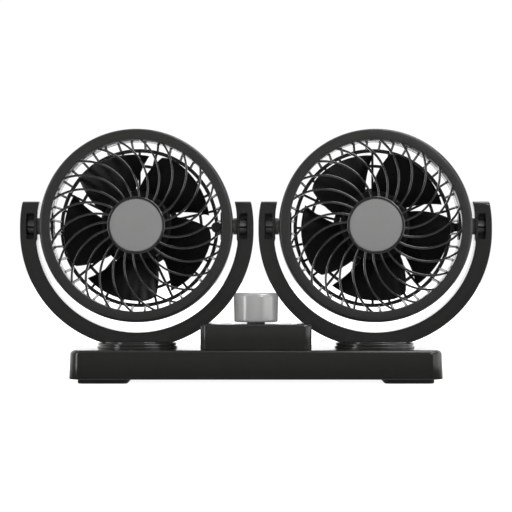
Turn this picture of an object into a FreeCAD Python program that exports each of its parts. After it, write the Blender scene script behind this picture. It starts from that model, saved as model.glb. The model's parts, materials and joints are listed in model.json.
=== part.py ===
"""Dual head car fan: two tilting, swivelling 4-inch fan heads on one dashboard base.

Millimetres, +Z up. The front of the fan faces -Y and the base runs along X.
The origin lies on the surface that the foot pads rest on, under the middle of the base.
"""
import FreeCAD, Part
import math
import os

V = FreeCAD.Vector

# Fits and clearances
PRESS_GAP = 0.05          # radial gap round a pressed, screwed or keyed piece
RUNNING_GAP = 0.05        # radial gap round a turning shaft or pin
FACE_GAP = 0.1            # between two faces that turn past each other
SHELL_GAP = 0.2           # round a lid, can or flange that drops into a wall
SWING_GAP = 0.8           # between the swinging yoke and the control box
YOKE_SIDE_GAP = 1.4       # from the middle of the fan to each yoke

# Front grille: bezel ring, hub and swept spokes
BEZEL_RADIUS = 56.3
BEZEL_OPENING = 50.0
BEZEL_FRONT = 14.0
BEZEL_BACK = 8.0
BEZEL_WALL = 2.5
BEZEL_INNER_WALL = 1.3    # round the opening, back to the flange of the rear grille
BEZEL_EDGE_ROUND = 1.8
HUB_RIM_RADIUS = 16.9
HUB_DEPTH = 4.4
HUB_PROUD = 0.4           # hub rim ahead of the spokes
BADGE_RADIUS = 15.25
BADGE_THICKNESS = 1.5
BADGE_CROWN = 0.5
SPOKE_COUNT = 24
SPOKE_FIRST_ANGLE = 6.0
SPOKE_SWEEP = 33.0        # turn of a spoke from hub to bezel, in degrees
SPOKE_BULGE = 0.18        # sagitta of a spoke's arc over its chord
SPOKE_WIDTH = 1.2
SPOKE_DEPTH = 3.0
SPOKE_ROOT = 0.9          # how far a spoke runs into the hub and the bezel
DOME_RISE = 1.0           # crown of the spokes ahead of the opening
DOME_SET_BACK = 0.8       # edge of the dome behind the bezel's front face

# Rear grille: flange, side ribs, rings, spokes and motor cup
FLANGE_INNER = 50.0
FLANGE_THICKNESS = 2.0
SIDE_RIB_COUNT = 40
SIDE_RIB_WIDTH = 1.5
SIDE_RIB_THICKNESS = 1.7
REAR_RING_RADIUS = 47.3
REAR_RING_WIDTH = 2.2
REAR_RING_BACK = 22.0
REAR_RING_DEPTH = 2.4
MID_RING_RADIUS = 37.9
MID_RING_WIDTH = 1.8
REAR_SPOKE_COUNT = 28
REAR_SPOKE_WIDTH = 1.5
CUP_WALL = 1.8
CUP_FRONT = 7.0
MOTOR_PLATE_RADIUS = 23.6  # disc round the cup, where the rear spokes start
VENT_COUNT = 6
VENT_RADIUS = 1.3
VENT_CIRCLE = 4.6
LEAD_BOSS_RADIUS = 3.2
LEAD_BOSS_BORE = 1.6
LEAD_BOSS_LENGTH = 9.5
LEAD_DUCT_WIDTH = 5.1      # wide rib between the lead boss and the flange

# Screws that hold the two grilles together
GRILLE_SCREW_COUNT = 4
GRILLE_SCREW_RADIUS = 0.8
GRILLE_SCREW_LENGTH = 9.0
GRILLE_SCREW_HEAD = 1.5
GRILLE_BOSS_RADIUS = 2.0

# Motor
MOTOR_RADIUS = 12.2
MOTOR_FRONT = 5.0
MOTOR_LENGTH = 21.2
MOTOR_WALL = 0.8
ENDCAP_THICKNESS = 3.0
MAGNET_THICKNESS = 2.4
MAGNET_LENGTH = 13.0
MAGNET_SPAN = 130.0
AIR_GAP = 0.5
ARMATURE_LENGTH = 10.0
ARMATURE_POLES = 3
WINDING_POCKET_RADIUS = 2.2
COMMUTATOR_RADIUS = 2.6
COMMUTATOR_LENGTH = 3.0
SHAFT_RADIUS = 1.0
BUSH_RADIUS = 2.5
BUSH_LENGTH = 2.4
MOTOR_SCREW_RADIUS = 0.9
MOTOR_SCREW_LENGTH = 4.0
MOTOR_SCREW_HEAD = 1.7
MOTOR_SCREW_CIRCLE = 8.2

# Impeller
BLADE_COUNT = 5
BLADE_TIP_RADIUS = 44.4
BLADE_TIP_DROP = 1.9      # how much the sharp tip corner is drawn in
BLADE_TIP_SPAN = 60.2
BLADE_ROOT_SPAN = 64.5
BLADE_SWEEP = 15.3        # sharp tip corner ahead of the root of its edge, in degrees
BLADE_FRONT = 8.0
BLADE_BACK = 7.6
BLADE_THICKNESS = 1.6
BLADE_CAMBER = 1.6
BLADE_TIP_ROUND = 2.0     # how much the rounded tip corner is drawn in
BLADE_ROUND_SHARE = 0.15  # share of the blade's width that the rounding takes
IMPELLER_HUB_RADIUS = 20.5
IMPELLER_HUB_WALL = 2.0
IMPELLER_HUB_GAP = 2.0    # behind the grille's hub
IMPELLER_BOSS_RADIUS = 4.0
IMPELLER_BOSS_LENGTH = 9.0
LEFT_BLADE_PHASE = 10.0   # angle of a sharp tip corner from straight up
RIGHT_BLADE_PHASE = 1.1

# Tilt trunnions
HEAD_TILT = 1.9           # how far the heads face up at rest, in degrees
TRUNNION_SHANK_RADIUS = 3.0
TRUNNION_HEAD_RADIUS = 4.5
TRUNNION_HEAD_THICKNESS = 1.7
COLLAR_RADIUS = 4.85
COLLAR_LENGTH = 1.9
PIN_RADIUS = 4.4
BARB_HEIGHT = 0.35
PIN_TIP_RADIUS = 4.0
PIN_SLOT_WIDTH = 1.0
PIN_SLOT_DROP = 0.7       # slot below the pin's middle

# Yoke
PAD_STEP = 0.9            # bearing pad ahead of the band's inner face
YOKE_BAND = 9.0
YOKE_DEPTH = 14.0
YOKE_DROP = 2.9           # band's centre below the tilt axis
YOKE_ARM_TOP = 14.5       # above the tilt axis
YOKE_LEAN = 1.5           # an arm's outer line leans in by this at its top
PAD_LEAN = 1.3            # an arm's inner line does so too, above its bearing pad
YOKE_EDGE_ROUND = 1.6
PAD_BOTTOM = 8.3          # below the tilt axis
PAD_WALL = 1.7            # wall that the pin turns in
POCKET_WIDTH = 4.5
POCKET_HEIGHT = 14.9
POCKET_BACK_WALL = 2.0
FOOT_RADIUS = 20.0
FOOT_FLARE = 1.0
YOKE_FOOT_THICKNESS = 6.0

# Turntable and its fastening
TURNTABLE_RADIUS = 23.5
TURNTABLE_THICKNESS = 3.0
TURNTABLE_GROOVE_DEPTH = 0.9
TURNTABLE_GROOVE_WIDTH = 0.5
TURNTABLE_STEP = 0.3
TURNTABLE_EDGE_ROUND = 0.6
SPINDLE_RADIUS = 7.0
SWIVEL_BOSS_LENGTH = 6.0
SWIVEL_BOSS_WALL = 3.0
SWIVEL_WASHER_RADIUS = 10.5
SWIVEL_WASHER_THICKNESS = 1.6
SWIVEL_SCREW_RADIUS = 2.0
SWIVEL_SCREW_LENGTH = 7.5
SWIVEL_SCREW_HEAD = 3.6
YOKE_SCREW_RADIUS = 1.25
YOKE_SCREW_LENGTH = 5.0
YOKE_SCREW_HEAD = 2.5
YOKE_SCREW_OFFSET = 12.0

# Base
BASE_OVERHANG = 37.4      # beyond each swivel axis
BASE_DEPTH = 75.0
BASE_HEIGHT = 16.6
BASE_WALL = 2.2
BASE_CORNER = 8.5
BASE_TOP_ROUND = 2.4
COVER_THICKNESS = 2.4
COVER_BOSS_RADIUS = 3.2
COVER_BOSS_INSET = 9.0
COVER_SCREW_RADIUS = 1.1
COVER_SCREW_LENGTH = 8.0
COVER_SCREW_HEAD = 2.0
COVER_SCREW_FLOOR = 0.7   # plate left under a recessed screw head
FOOT_PAD_THICKNESS = 2.6
FOOT_PAD_LENGTH = 30.0
FOOT_PAD_INSET = 5.0
FOOT_PAD_SLANT = 1.5
FOOT_PAD_CORNER = 4.0

# Control box, switch and knob
BOX_LENGTH = 63.9
BOX_DEPTH = 60.0
BOX_HEIGHT = 14.6
BOX_WALL = 2.0
BOX_CORNER = 4.0
BOX_TOP_ROUND = 1.6
BOX_WELL_LENGTH = 34.0
BOX_WELL_DEPTH = 36.0
BOX_BOSS_RADIUS = 3.0
BOX_BOSS_INSET = 7.0      # from the end of the box to a boss
BOX_BOSS_X_INSET = 10.0
BOX_SCREW_RADIUS = 1.25
BOX_SCREW_LENGTH = 8.0
BOX_SCREW_HEAD = 2.4
SWITCH_SIDE = 24.0
SWITCH_DEPTH = 10.6
SWITCH_FLOOR = 1.8
SWITCH_BUSH_RADIUS = 4.2
SWITCH_BUSH_HEIGHT = 2.6  # above the box
SWITCH_NUT_ACROSS = 10.4
SWITCH_NUT_THICKNESS = 1.8
SWITCH_SHAFT_RADIUS = 3.0
SWITCH_SHAFT_FLAT = 1.0
SWITCH_SHAFT_ENGAGE = 9.0
KNOB_RADIUS = 12.85
KNOB_HEIGHT = 16.8
KNOB_LIFT = 1.0           # above the box
KNOB_FORWARD = 14.0       # axis ahead of the middle of the base, clear of the swinging yokes
KNOB_EDGE_ROUND = 2.2
KNOB_RECESS_RADIUS = 8.0
KNOB_RECESS_DEPTH = 2.6

# Electronics and lead entry
BOARD_LENGTH = 32.0
BOARD_DEPTH = 40.0
BOARD_THICKNESS = 1.6
BOARD_OFFSET = 36.0       # middle of the board to the left of the middle of the base
STANDOFF_RADIUS = 2.6
STANDOFF_HEIGHT = 3.2
STANDOFF_INSET = 4.0
BOARD_SCREW_RADIUS = 1.0
BOARD_SCREW_LENGTH = 3.6
BOARD_SCREW_HEAD = 1.8
RESISTOR_LENGTH = 22.0
RESISTOR_WIDTH = 7.0
RESISTOR_HEIGHT = 6.0
GROMMET_OFFSET = 40.0     # to the right of the middle of the base
GROMMET_RADIUS = 4.0
GROMMET_FLANGE_RADIUS = 5.4
GROMMET_FLANGE_THICKNESS = 1.5
GROMMET_BORE = 2.2

HEAD_HEIGHT_SHARE = 0.8   # screw head height over its radius
DRIVE_SLOT_SHARE = 0.25   # screwdriver slot width over the head's radius
OVERCUT = 1.0             # how far a cutting tool runs past what it cuts
TOLERANCE = 1e-4

# Places that follow from the sizes
PAD_FACE = BEZEL_RADIUS + COLLAR_LENGTH + FACE_GAP
YOKE_INNER_RADIUS = PAD_FACE + PAD_STEP
YOKE_OUTER_RADIUS = YOKE_INNER_RADIUS + YOKE_BAND
HEAD_SPACING = 2 * (YOKE_OUTER_RADIUS + YOKE_SIDE_GAP)
BASE_BOTTOM = FOOT_PAD_THICKNESS
BASE_TOP = BASE_BOTTOM + BASE_HEIGHT
BASE_LENGTH = HEAD_SPACING + 2 * BASE_OVERHANG
TURNTABLE_TOP = BASE_TOP + TURNTABLE_THICKNESS
PIVOT_HEIGHT = TURNTABLE_TOP + YOKE_FOOT_THICKNESS + YOKE_INNER_RADIUS + YOKE_DROP
BOX_TOP = BASE_TOP + BOX_HEIGHT
COVER_TOP = BASE_BOTTOM + COVER_THICKNESS
BEZEL_INNER_RADIUS = BEZEL_RADIUS - BEZEL_WALL
FLANGE_BACK = BEZEL_BACK - FACE_GAP
FLANGE_FRONT = FLANGE_BACK - FLANGE_THICKNESS
GRILLE_SCREW_CIRCLE = BEZEL_INNER_RADIUS - SHELL_GAP - GRILLE_SCREW_HEAD - PRESS_GAP
DOME_EDGE = -BEZEL_FRONT + DOME_SET_BACK
DOME_APEX = DOME_EDGE - DOME_RISE
DOME_SPHERE = (BEZEL_OPENING ** 2 + DOME_RISE ** 2) / (2 * DOME_RISE)
MOTOR_BACK = MOTOR_FRONT + MOTOR_LENGTH
CUP_RADIUS = MOTOR_RADIUS + SHELL_GAP + CUP_WALL
CUP_BACK = MOTOR_BACK + CUP_WALL
SPINDLE_BOTTOM = BASE_TOP - BASE_WALL - SWIVEL_BOSS_LENGTH - FACE_GAP
YOKE_SCREW_SEAT = BASE_TOP + FACE_GAP + YOKE_SCREW_HEAD * HEAD_HEIGHT_SHARE
COVER_SCREW_SEAT = COVER_TOP - COVER_SCREW_FLOOR
KNOB_BORE_BOTTOM = BOX_TOP + KNOB_LIFT + KNOB_RECESS_DEPTH
SWITCH_SHAFT_BOTTOM = BOX_TOP - BOX_WALL - SWITCH_DEPTH + SWITCH_FLOOR


# Small helpers for solids

def polygon_face(corners):
    """Flat face from its corner points."""
    return Part.Face(Part.makePolygon([*corners, corners[0]]))


def revolve_about_y(profile):
    """Solid of revolution about the fan axis from (radius, y) corners."""
    face = polygon_face([V(radius, y, 0) for radius, y in profile])
    return face.revolve(V(0, 0, 0), V(0, 1, 0), 360)


def ring_about_y(outer, inner, front, back):
    """Flat ring about the fan axis."""
    return revolve_about_y([(inner, front), (outer, front), (outer, back), (inner, back)])


def revolve_about_x(profile):
    """Solid of revolution about the tilt axis from (x, radius) corners."""
    face = polygon_face([V(x, radius, 0) for x, radius in profile])
    return face.revolve(V(0, 0, 0), V(1, 0, 0), 360)


def upright(radius, bottom, top, x=0.0, y=0.0):
    """Cylinder along Z."""
    return Part.makeCylinder(radius, top - bottom, V(x, y, bottom), V(0, 0, 1))


def along_y(radius, front, back, x=0.0, z=0.0):
    """Cylinder along Y."""
    return Part.makeCylinder(radius, back - front, V(x, front, z), V(0, 1, 0))


def hole_up(radius, bottom, top, x=0.0, y=0.0):
    """Cutter along Z that runs past both faces."""
    return upright(radius, bottom - OVERCUT, top + OVERCUT, x, y)


def hole_y(radius, front, back, x=0.0, z=0.0):
    """Cutter along Y that runs past both faces."""
    return along_y(radius, front - OVERCUT, back + OVERCUT, x, z)


def block(length, depth, bottom, top, x=0.0, y=0.0):
    """Box centred on x and y."""
    corner = V(x - length / 2, y - depth / 2, bottom)
    return Part.makeBox(length, depth, top - bottom, corner)


def level_edges(shape, height):
    """Edges that lie at one height."""
    return [edge for edge in shape.Edges
            if all(abs(vertex.Z - height) < TOLERANCE for vertex in edge.Vertexes)]


def upright_edges(shape):
    """Straight edges along Z."""
    return [edge for edge in shape.Edges
            if edge.BoundBox.XLength < TOLERANCE and edge.BoundBox.YLength < TOLERANCE]


def ring_edges(shape, radius, y):
    """Circles of one radius about the fan axis, at one depth."""
    return [edge for edge in shape.Edges
            if isinstance(edge.Curve, Part.Circle)
            and abs(edge.Curve.Radius - radius) < TOLERANCE
            and abs(edge.Curve.Center.y - y) < TOLERANCE]


def rounded_block(length, depth, bottom, top, corner):
    """Box with rounded upright corners."""
    shape = block(length, depth, bottom, top)
    return shape.makeFillet(corner, upright_edges(shape))


def turned(shape, angle):
    """Copy turned about the fan axis, clockwise as seen from the front."""
    copy = shape.copy()
    copy.rotate(V(0, 0, 0), V(0, 1, 0), angle)
    return copy


def moved(shape, x=0.0, y=0.0, z=0.0):
    """Copy shifted from where it is."""
    copy = shape.copy()
    copy.translate(V(x, y, z))
    return copy


def facing_up(shape):
    """Copy turned about the tilt axis, so that its front looks up a little."""
    copy = shape.copy()
    copy.rotate(V(0, 0, 0), V(1, 0, 0), -HEAD_TILT)
    return copy


def around(shape, count, first=0.0):
    """Evenly spaced copies about the fan axis."""
    return [turned(shape, first + 360.0 * index / count) for index in range(count)]


def joined(shapes):
    """One solid from solids that run into each other."""
    return shapes[0].multiFuse(shapes[1:]).removeSplitter()


def cut_by(shape, tools):
    """The shape with every tool taken out of it."""
    return shape.cut(tools)


def screw(radius, length, head_radius, seat, direction):
    """Screw whose head rests on the seat point and whose shank runs along the direction."""
    head_height = head_radius * HEAD_HEIGHT_SHARE
    back = direction * -1
    shank = Part.makeCylinder(radius, length, seat, direction)
    head = Part.makeCylinder(head_radius, head_height, seat, back)
    across = V(1, 0, 0)
    width = head_radius * DRIVE_SLOT_SHARE
    side = direction.cross(across)
    depth = head_height / 2
    start = seat + back * depth - across * head_radius - side * (width / 2)
    corners = [start, start + across * (2 * head_radius),
               start + across * (2 * head_radius) + side * width, start + side * width]
    slot = polygon_face(corners).extrude(back * head_height)
    return head.fuse(shank).removeSplitter().cut(slot)


# Head pieces, about the tilt axis and the fan axis

def dome_y(radius):
    """Depth of the domed front of the grille at a radius: a cap of a sphere."""
    return DOME_APEX + DOME_SPHERE - math.sqrt(DOME_SPHERE ** 2 - radius ** 2)


def dome_shell():
    """Domed layer that the spokes are cut from, SPOKE_DEPTH thick."""
    rim = BEZEL_OPENING + 2 * SPOKE_ROOT
    front = Part.Arc(*[V(r, dome_y(r), 0) for r in (0, rim / 2, rim)]).toShape()
    back = moved(front, y=SPOKE_DEPTH)
    axis = Part.makeLine(V(0, dome_y(0), 0), V(0, dome_y(0) + SPOKE_DEPTH, 0))
    edge = Part.makeLine(V(rim, dome_y(rim), 0), V(rim, dome_y(rim) + SPOKE_DEPTH, 0))
    face = Part.Face(Part.Wire(Part.__sortEdges__([front, edge, back, axis])))
    return face.revolve(V(0, 0, 0), V(0, 1, 0), 360)


def swept_spoke():
    """Spoke whose middle line is an arc from the hub to the bezel, bulging clockwise."""
    sweep = math.radians(SPOKE_SWEEP)
    hub_end = V(0, 0, HUB_RIM_RADIUS)
    rim_end = V(-BEZEL_OPENING * math.sin(sweep), 0, BEZEL_OPENING * math.cos(sweep))
    chord = rim_end - hub_end
    sagitta = SPOKE_BULGE * chord.Length
    radius = (chord.Length ** 2 / 4 + sagitta ** 2) / (2 * sagitta)
    inward = chord.cross(V(0, 1, 0)).normalize()
    centre = (hub_end + rim_end) * 0.5 + inward * (radius - sagitta)
    start = math.atan2(hub_end.x - centre.x, hub_end.z - centre.z) + SPOKE_ROOT / radius
    end = math.atan2(rim_end.x - centre.x, rim_end.z - centre.z) - SPOKE_ROOT / radius

    def on_arc(arc_radius, angle):
        return centre + V(math.sin(angle), 0, math.cos(angle)) * arc_radius

    sides = []
    for arc_radius in (radius - SPOKE_WIDTH / 2, radius + SPOKE_WIDTH / 2):
        points = [on_arc(arc_radius, angle) for angle in (start, (start + end) / 2, end)]
        sides.append(Part.Arc(*points).toShape())
    caps = [Part.makeLine(sides[0].valueAt(at), sides[1].valueAt(at2))
            for at, at2 in zip(sides[0].ParameterRange, sides[1].ParameterRange)]
    face = Part.Face(Part.Wire(Part.__sortEdges__([*sides, *caps])))
    face.translate(V(0, DOME_APEX - SPOKE_DEPTH, 0))
    strip = face.extrude(V(0, DOME_RISE + 3 * SPOKE_DEPTH, 0))
    return strip.common(dome_shell())


def front_grille():
    """Bezel ring, hollow behind, with the swept spokes and the hub cup for the badge."""
    hollow_front = BEZEL_WALL - BEZEL_FRONT
    sleeve_radius = BEZEL_OPENING + BEZEL_INNER_WALL
    sleeve_back = FLANGE_FRONT - FACE_GAP
    bezel = revolve_about_y([
        (BEZEL_OPENING, -BEZEL_FRONT), (BEZEL_RADIUS, -BEZEL_FRONT), (BEZEL_RADIUS, BEZEL_BACK),
        (BEZEL_INNER_RADIUS, BEZEL_BACK), (BEZEL_INNER_RADIUS, hollow_front),
        (sleeve_radius, hollow_front), (sleeve_radius, sleeve_back), (BEZEL_OPENING, sleeve_back)])
    bezel = bezel.makeFillet(BEZEL_EDGE_ROUND, ring_edges(bezel, BEZEL_RADIUS, -BEZEL_FRONT))
    bezel = bezel.makeFillet(BEZEL_EDGE_ROUND / 2, ring_edges(bezel, BEZEL_OPENING, -BEZEL_FRONT))
    hub_front = dome_y(HUB_RIM_RADIUS) - HUB_PROUD
    seat = hub_front + BADGE_THICKNESS
    hub = revolve_about_y([
        (0, seat), (BADGE_RADIUS + PRESS_GAP, seat), (BADGE_RADIUS + PRESS_GAP, hub_front),
        (HUB_RIM_RADIUS, hub_front), (HUB_RIM_RADIUS, hub_front + HUB_DEPTH),
        (0, hub_front + HUB_DEPTH)])
    boss = along_y(GRILLE_BOSS_RADIUS, BEZEL_WALL / 2 - BEZEL_FRONT, FLANGE_FRONT,
                   z=GRILLE_SCREW_CIRCLE)
    first = 180.0 / GRILLE_SCREW_COUNT
    solid = joined([bezel, hub, *around(swept_spoke(), SPOKE_COUNT, SPOKE_FIRST_ANGLE),
                    *around(boss, GRILLE_SCREW_COUNT, first)])
    pilot = along_y(GRILLE_SCREW_RADIUS + PRESS_GAP, FLANGE_BACK - GRILLE_SCREW_LENGTH - FACE_GAP,
                    FLANGE_BACK, z=GRILLE_SCREW_CIRCLE)
    pin_hole = Part.makeCylinder(TRUNNION_SHANK_RADIUS + PRESS_GAP, BEZEL_WALL + 2 * OVERCUT,
                                 V(BEZEL_INNER_RADIUS - OVERCUT, 0, 0), V(1, 0, 0))
    return cut_by(solid, [*around(pilot, GRILLE_SCREW_COUNT, first), *around(pin_hole, 2)])


def hub_badge():
    """Plain disc with a slightly crowned face, in the hub cup."""
    back = dome_y(HUB_RIM_RADIUS) - HUB_PROUD + BADGE_THICKNESS
    edge = back - BADGE_THICKNESS + BADGE_CROWN / 2
    crown = edge - BADGE_CROWN
    drop = BADGE_CROWN / 4
    face_arc = Part.Arc(V(0, crown, 0), V(BADGE_RADIUS / 2, crown + drop, 0), V(BADGE_RADIUS, edge, 0))
    lines = [Part.makeLine(V(BADGE_RADIUS, edge, 0), V(BADGE_RADIUS, back, 0)),
             Part.makeLine(V(BADGE_RADIUS, back, 0), V(0, back, 0)),
             Part.makeLine(V(0, back, 0), V(0, crown, 0))]
    face = Part.Face(Part.Wire([face_arc.toShape(), *lines]))
    return face.revolve(V(0, 0, 0), V(0, 1, 0), 360)


def rear_grille():
    """Basket behind the impeller: flange, side ribs, two rings, spokes, the motor cup and the lead's duct."""
    flange = ring_about_y(BEZEL_INNER_RADIUS - SHELL_GAP, FLANGE_INNER, FLANGE_FRONT, FLANGE_BACK)
    ring_front = REAR_RING_BACK - REAR_RING_DEPTH
    rear_ring = ring_about_y(REAR_RING_RADIUS, REAR_RING_RADIUS - REAR_RING_WIDTH,
                             ring_front, REAR_RING_BACK)
    mid_ring = ring_about_y(MID_RING_RADIUS, MID_RING_RADIUS - MID_RING_WIDTH,
                            ring_front, REAR_RING_BACK)
    cup = cut_by(along_y(CUP_RADIUS, CUP_FRONT, CUP_BACK),
                 [along_y(MOTOR_RADIUS + SHELL_GAP, CUP_FRONT - OVERCUT, MOTOR_BACK)])
    plate = ring_about_y(MOTOR_PLATE_RADIUS, CUP_RADIUS - CUP_WALL / 2, ring_front, REAR_RING_BACK)
    flange_middle = (FLANGE_FRONT + FLANGE_BACK) / 2
    ring_middle = (ring_front + REAR_RING_BACK) / 2
    rib_face = polygon_face([
        V(FLANGE_INNER + SIDE_RIB_THICKNESS, flange_middle, 0), V(FLANGE_INNER, flange_middle, 0),
        V(REAR_RING_RADIUS - SIDE_RIB_THICKNESS, ring_middle, 0), V(REAR_RING_RADIUS, ring_middle, 0)])
    rib, lead_duct = (moved(rib_face.extrude(V(0, 0, width)), z=-width / 2)
                      for width in (SIDE_RIB_WIDTH, LEAD_DUCT_WIDTH))
    inner_end = MOTOR_PLATE_RADIUS - CUP_WALL / 2
    outer_end = REAR_RING_RADIUS - REAR_RING_WIDTH / 2
    spoke = Part.makeBox(REAR_SPOKE_WIDTH, REAR_RING_DEPTH, outer_end - inner_end,
                         V(-REAR_SPOKE_WIDTH / 2, ring_front, inner_end))
    boss_x = REAR_RING_RADIUS - REAR_RING_WIDTH / 2
    boss = along_y(LEAD_BOSS_RADIUS, REAR_RING_BACK - LEAD_BOSS_LENGTH, REAR_RING_BACK, x=boss_x)
    screw_first = 180.0 / GRILLE_SCREW_COUNT
    solid = joined([flange, rear_ring, mid_ring, cup, plate, boss, lead_duct,
                    *around(rib, SIDE_RIB_COUNT, 180.0 / SIDE_RIB_COUNT),
                    *around(spoke, REAR_SPOKE_COUNT)])
    lead_bore = hole_y(LEAD_BOSS_BORE, REAR_RING_BACK - LEAD_BOSS_LENGTH, REAR_RING_BACK, x=boss_x)
    vent = hole_y(VENT_RADIUS, MOTOR_BACK, CUP_BACK, z=VENT_CIRCLE)
    screw_hole = hole_y(GRILLE_SCREW_RADIUS + PRESS_GAP, FLANGE_FRONT, FLANGE_BACK,
                         z=GRILLE_SCREW_CIRCLE)
    motor_hole = hole_y(MOTOR_SCREW_RADIUS + PRESS_GAP, MOTOR_BACK, CUP_BACK, x=MOTOR_SCREW_CIRCLE)
    return cut_by(solid, [lead_bore, *around(vent, VENT_COUNT), *around(motor_hole, 2),
                          *around(screw_hole, GRILLE_SCREW_COUNT, screw_first)])


def grille_screws():
    """Screws from behind through the flange into the bezel's bosses."""
    one = screw(GRILLE_SCREW_RADIUS, GRILLE_SCREW_LENGTH, GRILLE_SCREW_HEAD,
                V(0, FLANGE_BACK, GRILLE_SCREW_CIRCLE), V(0, -1, 0))
    return Part.makeCompound(around(one, GRILLE_SCREW_COUNT, 180.0 / GRILLE_SCREW_COUNT))


def motor_can():
    """Drawn steel can, open behind, with a hole for the front bush."""
    inner = MOTOR_RADIUS - MOTOR_WALL
    return cut_by(along_y(MOTOR_RADIUS, MOTOR_FRONT, MOTOR_BACK),
                  [along_y(inner, MOTOR_FRONT + MOTOR_WALL, MOTOR_BACK + OVERCUT),
                   along_y(BUSH_RADIUS + PRESS_GAP, MOTOR_FRONT - OVERCUT, MOTOR_BACK)])


def motor_magnets():
    """Two arc magnets against the wall of the can."""
    outer = MOTOR_RADIUS - MOTOR_WALL - PRESS_GAP
    front = MOTOR_FRONT + MOTOR_WALL + FACE_GAP
    profile = polygon_face([V(0, front, outer - MAGNET_THICKNESS), V(0, front, outer),
                            V(0, front + MAGNET_LENGTH, outer),
                            V(0, front + MAGNET_LENGTH, outer - MAGNET_THICKNESS)])
    magnet = profile.revolve(V(0, 0, 0), V(0, 1, 0), MAGNET_SPAN)
    return Part.makeCompound(around(magnet, 2, -MAGNET_SPAN / 2))


def motor_endcap():
    """Moulded cap that closes the can behind and holds the rear bush."""
    radius = MOTOR_RADIUS - MOTOR_WALL - PRESS_GAP
    front = MOTOR_BACK - ENDCAP_THICKNESS
    pilot = hole_y(MOTOR_SCREW_RADIUS + PRESS_GAP, front, MOTOR_BACK, x=MOTOR_SCREW_CIRCLE)
    return cut_by(along_y(radius, front, MOTOR_BACK),
                  [hole_y(BUSH_RADIUS + PRESS_GAP, front, MOTOR_BACK), *around(pilot, 2)])


def motor_bushes():
    """Front and rear sintered bushes that the shaft turns in."""
    bore = SHAFT_RADIUS + RUNNING_GAP
    return Part.makeCompound([
        ring_about_y(BUSH_RADIUS, bore, MOTOR_FRONT, MOTOR_FRONT + BUSH_LENGTH),
        ring_about_y(BUSH_RADIUS, bore, MOTOR_BACK - BUSH_LENGTH, MOTOR_BACK)])


def armature():
    """Wound core with its pole pockets, and the commutator behind it."""
    radius = MOTOR_RADIUS - MOTOR_WALL - PRESS_GAP - MAGNET_THICKNESS - AIR_GAP
    front = MOTOR_FRONT + MOTOR_WALL + BUSH_LENGTH
    back = front + ARMATURE_LENGTH
    pocket = hole_y(WINDING_POCKET_RADIUS, front, back, z=radius - WINDING_POCKET_RADIUS)
    slit = Part.makeBox(WINDING_POCKET_RADIUS, ARMATURE_LENGTH + 2, 2 * WINDING_POCKET_RADIUS,
                        V(-WINDING_POCKET_RADIUS / 2, front - OVERCUT, radius - WINDING_POCKET_RADIUS))
    core = cut_by(along_y(radius, front, back),
                  [*around(pocket, ARMATURE_POLES), *around(slit, ARMATURE_POLES)])
    commutator = along_y(COMMUTATOR_RADIUS, back - OVERCUT, back + COMMUTATOR_LENGTH)
    bore = hole_y(SHAFT_RADIUS + PRESS_GAP, front, back + COMMUTATOR_LENGTH)
    return cut_by(joined([core, commutator]), [bore])


def impeller_hub_front():
    """Front face of the impeller's hub, a gap behind the grille's hub."""
    return dome_y(HUB_RIM_RADIUS) - HUB_PROUD + HUB_DEPTH + IMPELLER_HUB_GAP


def motor_shaft():
    """Shaft from the impeller's boss to the rear bush."""
    front = impeller_hub_front() + IMPELLER_HUB_WALL + FACE_GAP
    return along_y(SHAFT_RADIUS, front, MOTOR_BACK - FACE_GAP)


def motor_screws():
    """Two screws from behind through the cup into the motor's end cap."""
    one = screw(MOTOR_SCREW_RADIUS, MOTOR_SCREW_LENGTH, MOTOR_SCREW_HEAD,
                V(MOTOR_SCREW_CIRCLE, CUP_BACK, 0), V(0, -1, 0))
    return Part.makeCompound(around(one, 2))


def blade():
    """Swept, pitched and cambered blade with its sharp tip corner straight up."""
    root = IMPELLER_HUB_RADIUS - IMPELLER_HUB_WALL / 2
    chord_steps = 12
    radial_steps = 4
    rows = []
    for step in range(chord_steps + 1):
        across = step / chord_steps
        rounding = max(0.0, 1.0 - across / BLADE_ROUND_SHARE) ** 2
        tip = BLADE_TIP_RADIUS - BLADE_TIP_ROUND * rounding - BLADE_TIP_DROP * across
        y = (BLADE_BACK + BLADE_FRONT) * across - BLADE_FRONT + 4 * BLADE_CAMBER * across * (1 - across)
        row = []
        for index in range(radial_steps + 1):
            radius = root + (tip - root) * index / radial_steps
            share = (radius - root) / (BLADE_TIP_RADIUS - root)
            span = BLADE_ROOT_SPAN + (BLADE_TIP_SPAN - BLADE_ROOT_SPAN) * share
            angle = math.radians(BLADE_SWEEP * (share - 1) - span * (1 - across))
            row.append(V(radius * math.sin(angle), y, radius * math.cos(angle)))
        rows.append(row)
    surface = Part.BSplineSurface()
    surface.interpolate(rows)
    return surface.toShape().extrude(V(0, BLADE_THICKNESS, 0))


def impeller(phase):
    """Hub cup with its boss and five blades, turned to the phase."""
    front = impeller_hub_front()
    back = BLADE_BACK + BLADE_THICKNESS + FACE_GAP
    floor = front + IMPELLER_HUB_WALL
    inner = IMPELLER_HUB_RADIUS - IMPELLER_HUB_WALL
    boss_back = floor + IMPELLER_BOSS_LENGTH
    hub = revolve_about_y([
        (0, front), (IMPELLER_HUB_RADIUS, front), (IMPELLER_HUB_RADIUS, back), (inner, back),
        (inner, floor), (IMPELLER_BOSS_RADIUS, floor), (IMPELLER_BOSS_RADIUS, boss_back),
        (0, boss_back)])
    hub = hub.makeFillet(IMPELLER_HUB_WALL / 2, ring_edges(hub, IMPELLER_HUB_RADIUS, front))
    solid = joined([hub, *around(blade(), BLADE_COUNT, phase)])
    return cut_by(solid, [along_y(SHAFT_RADIUS + PRESS_GAP, floor, boss_back + OVERCUT)])


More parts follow.
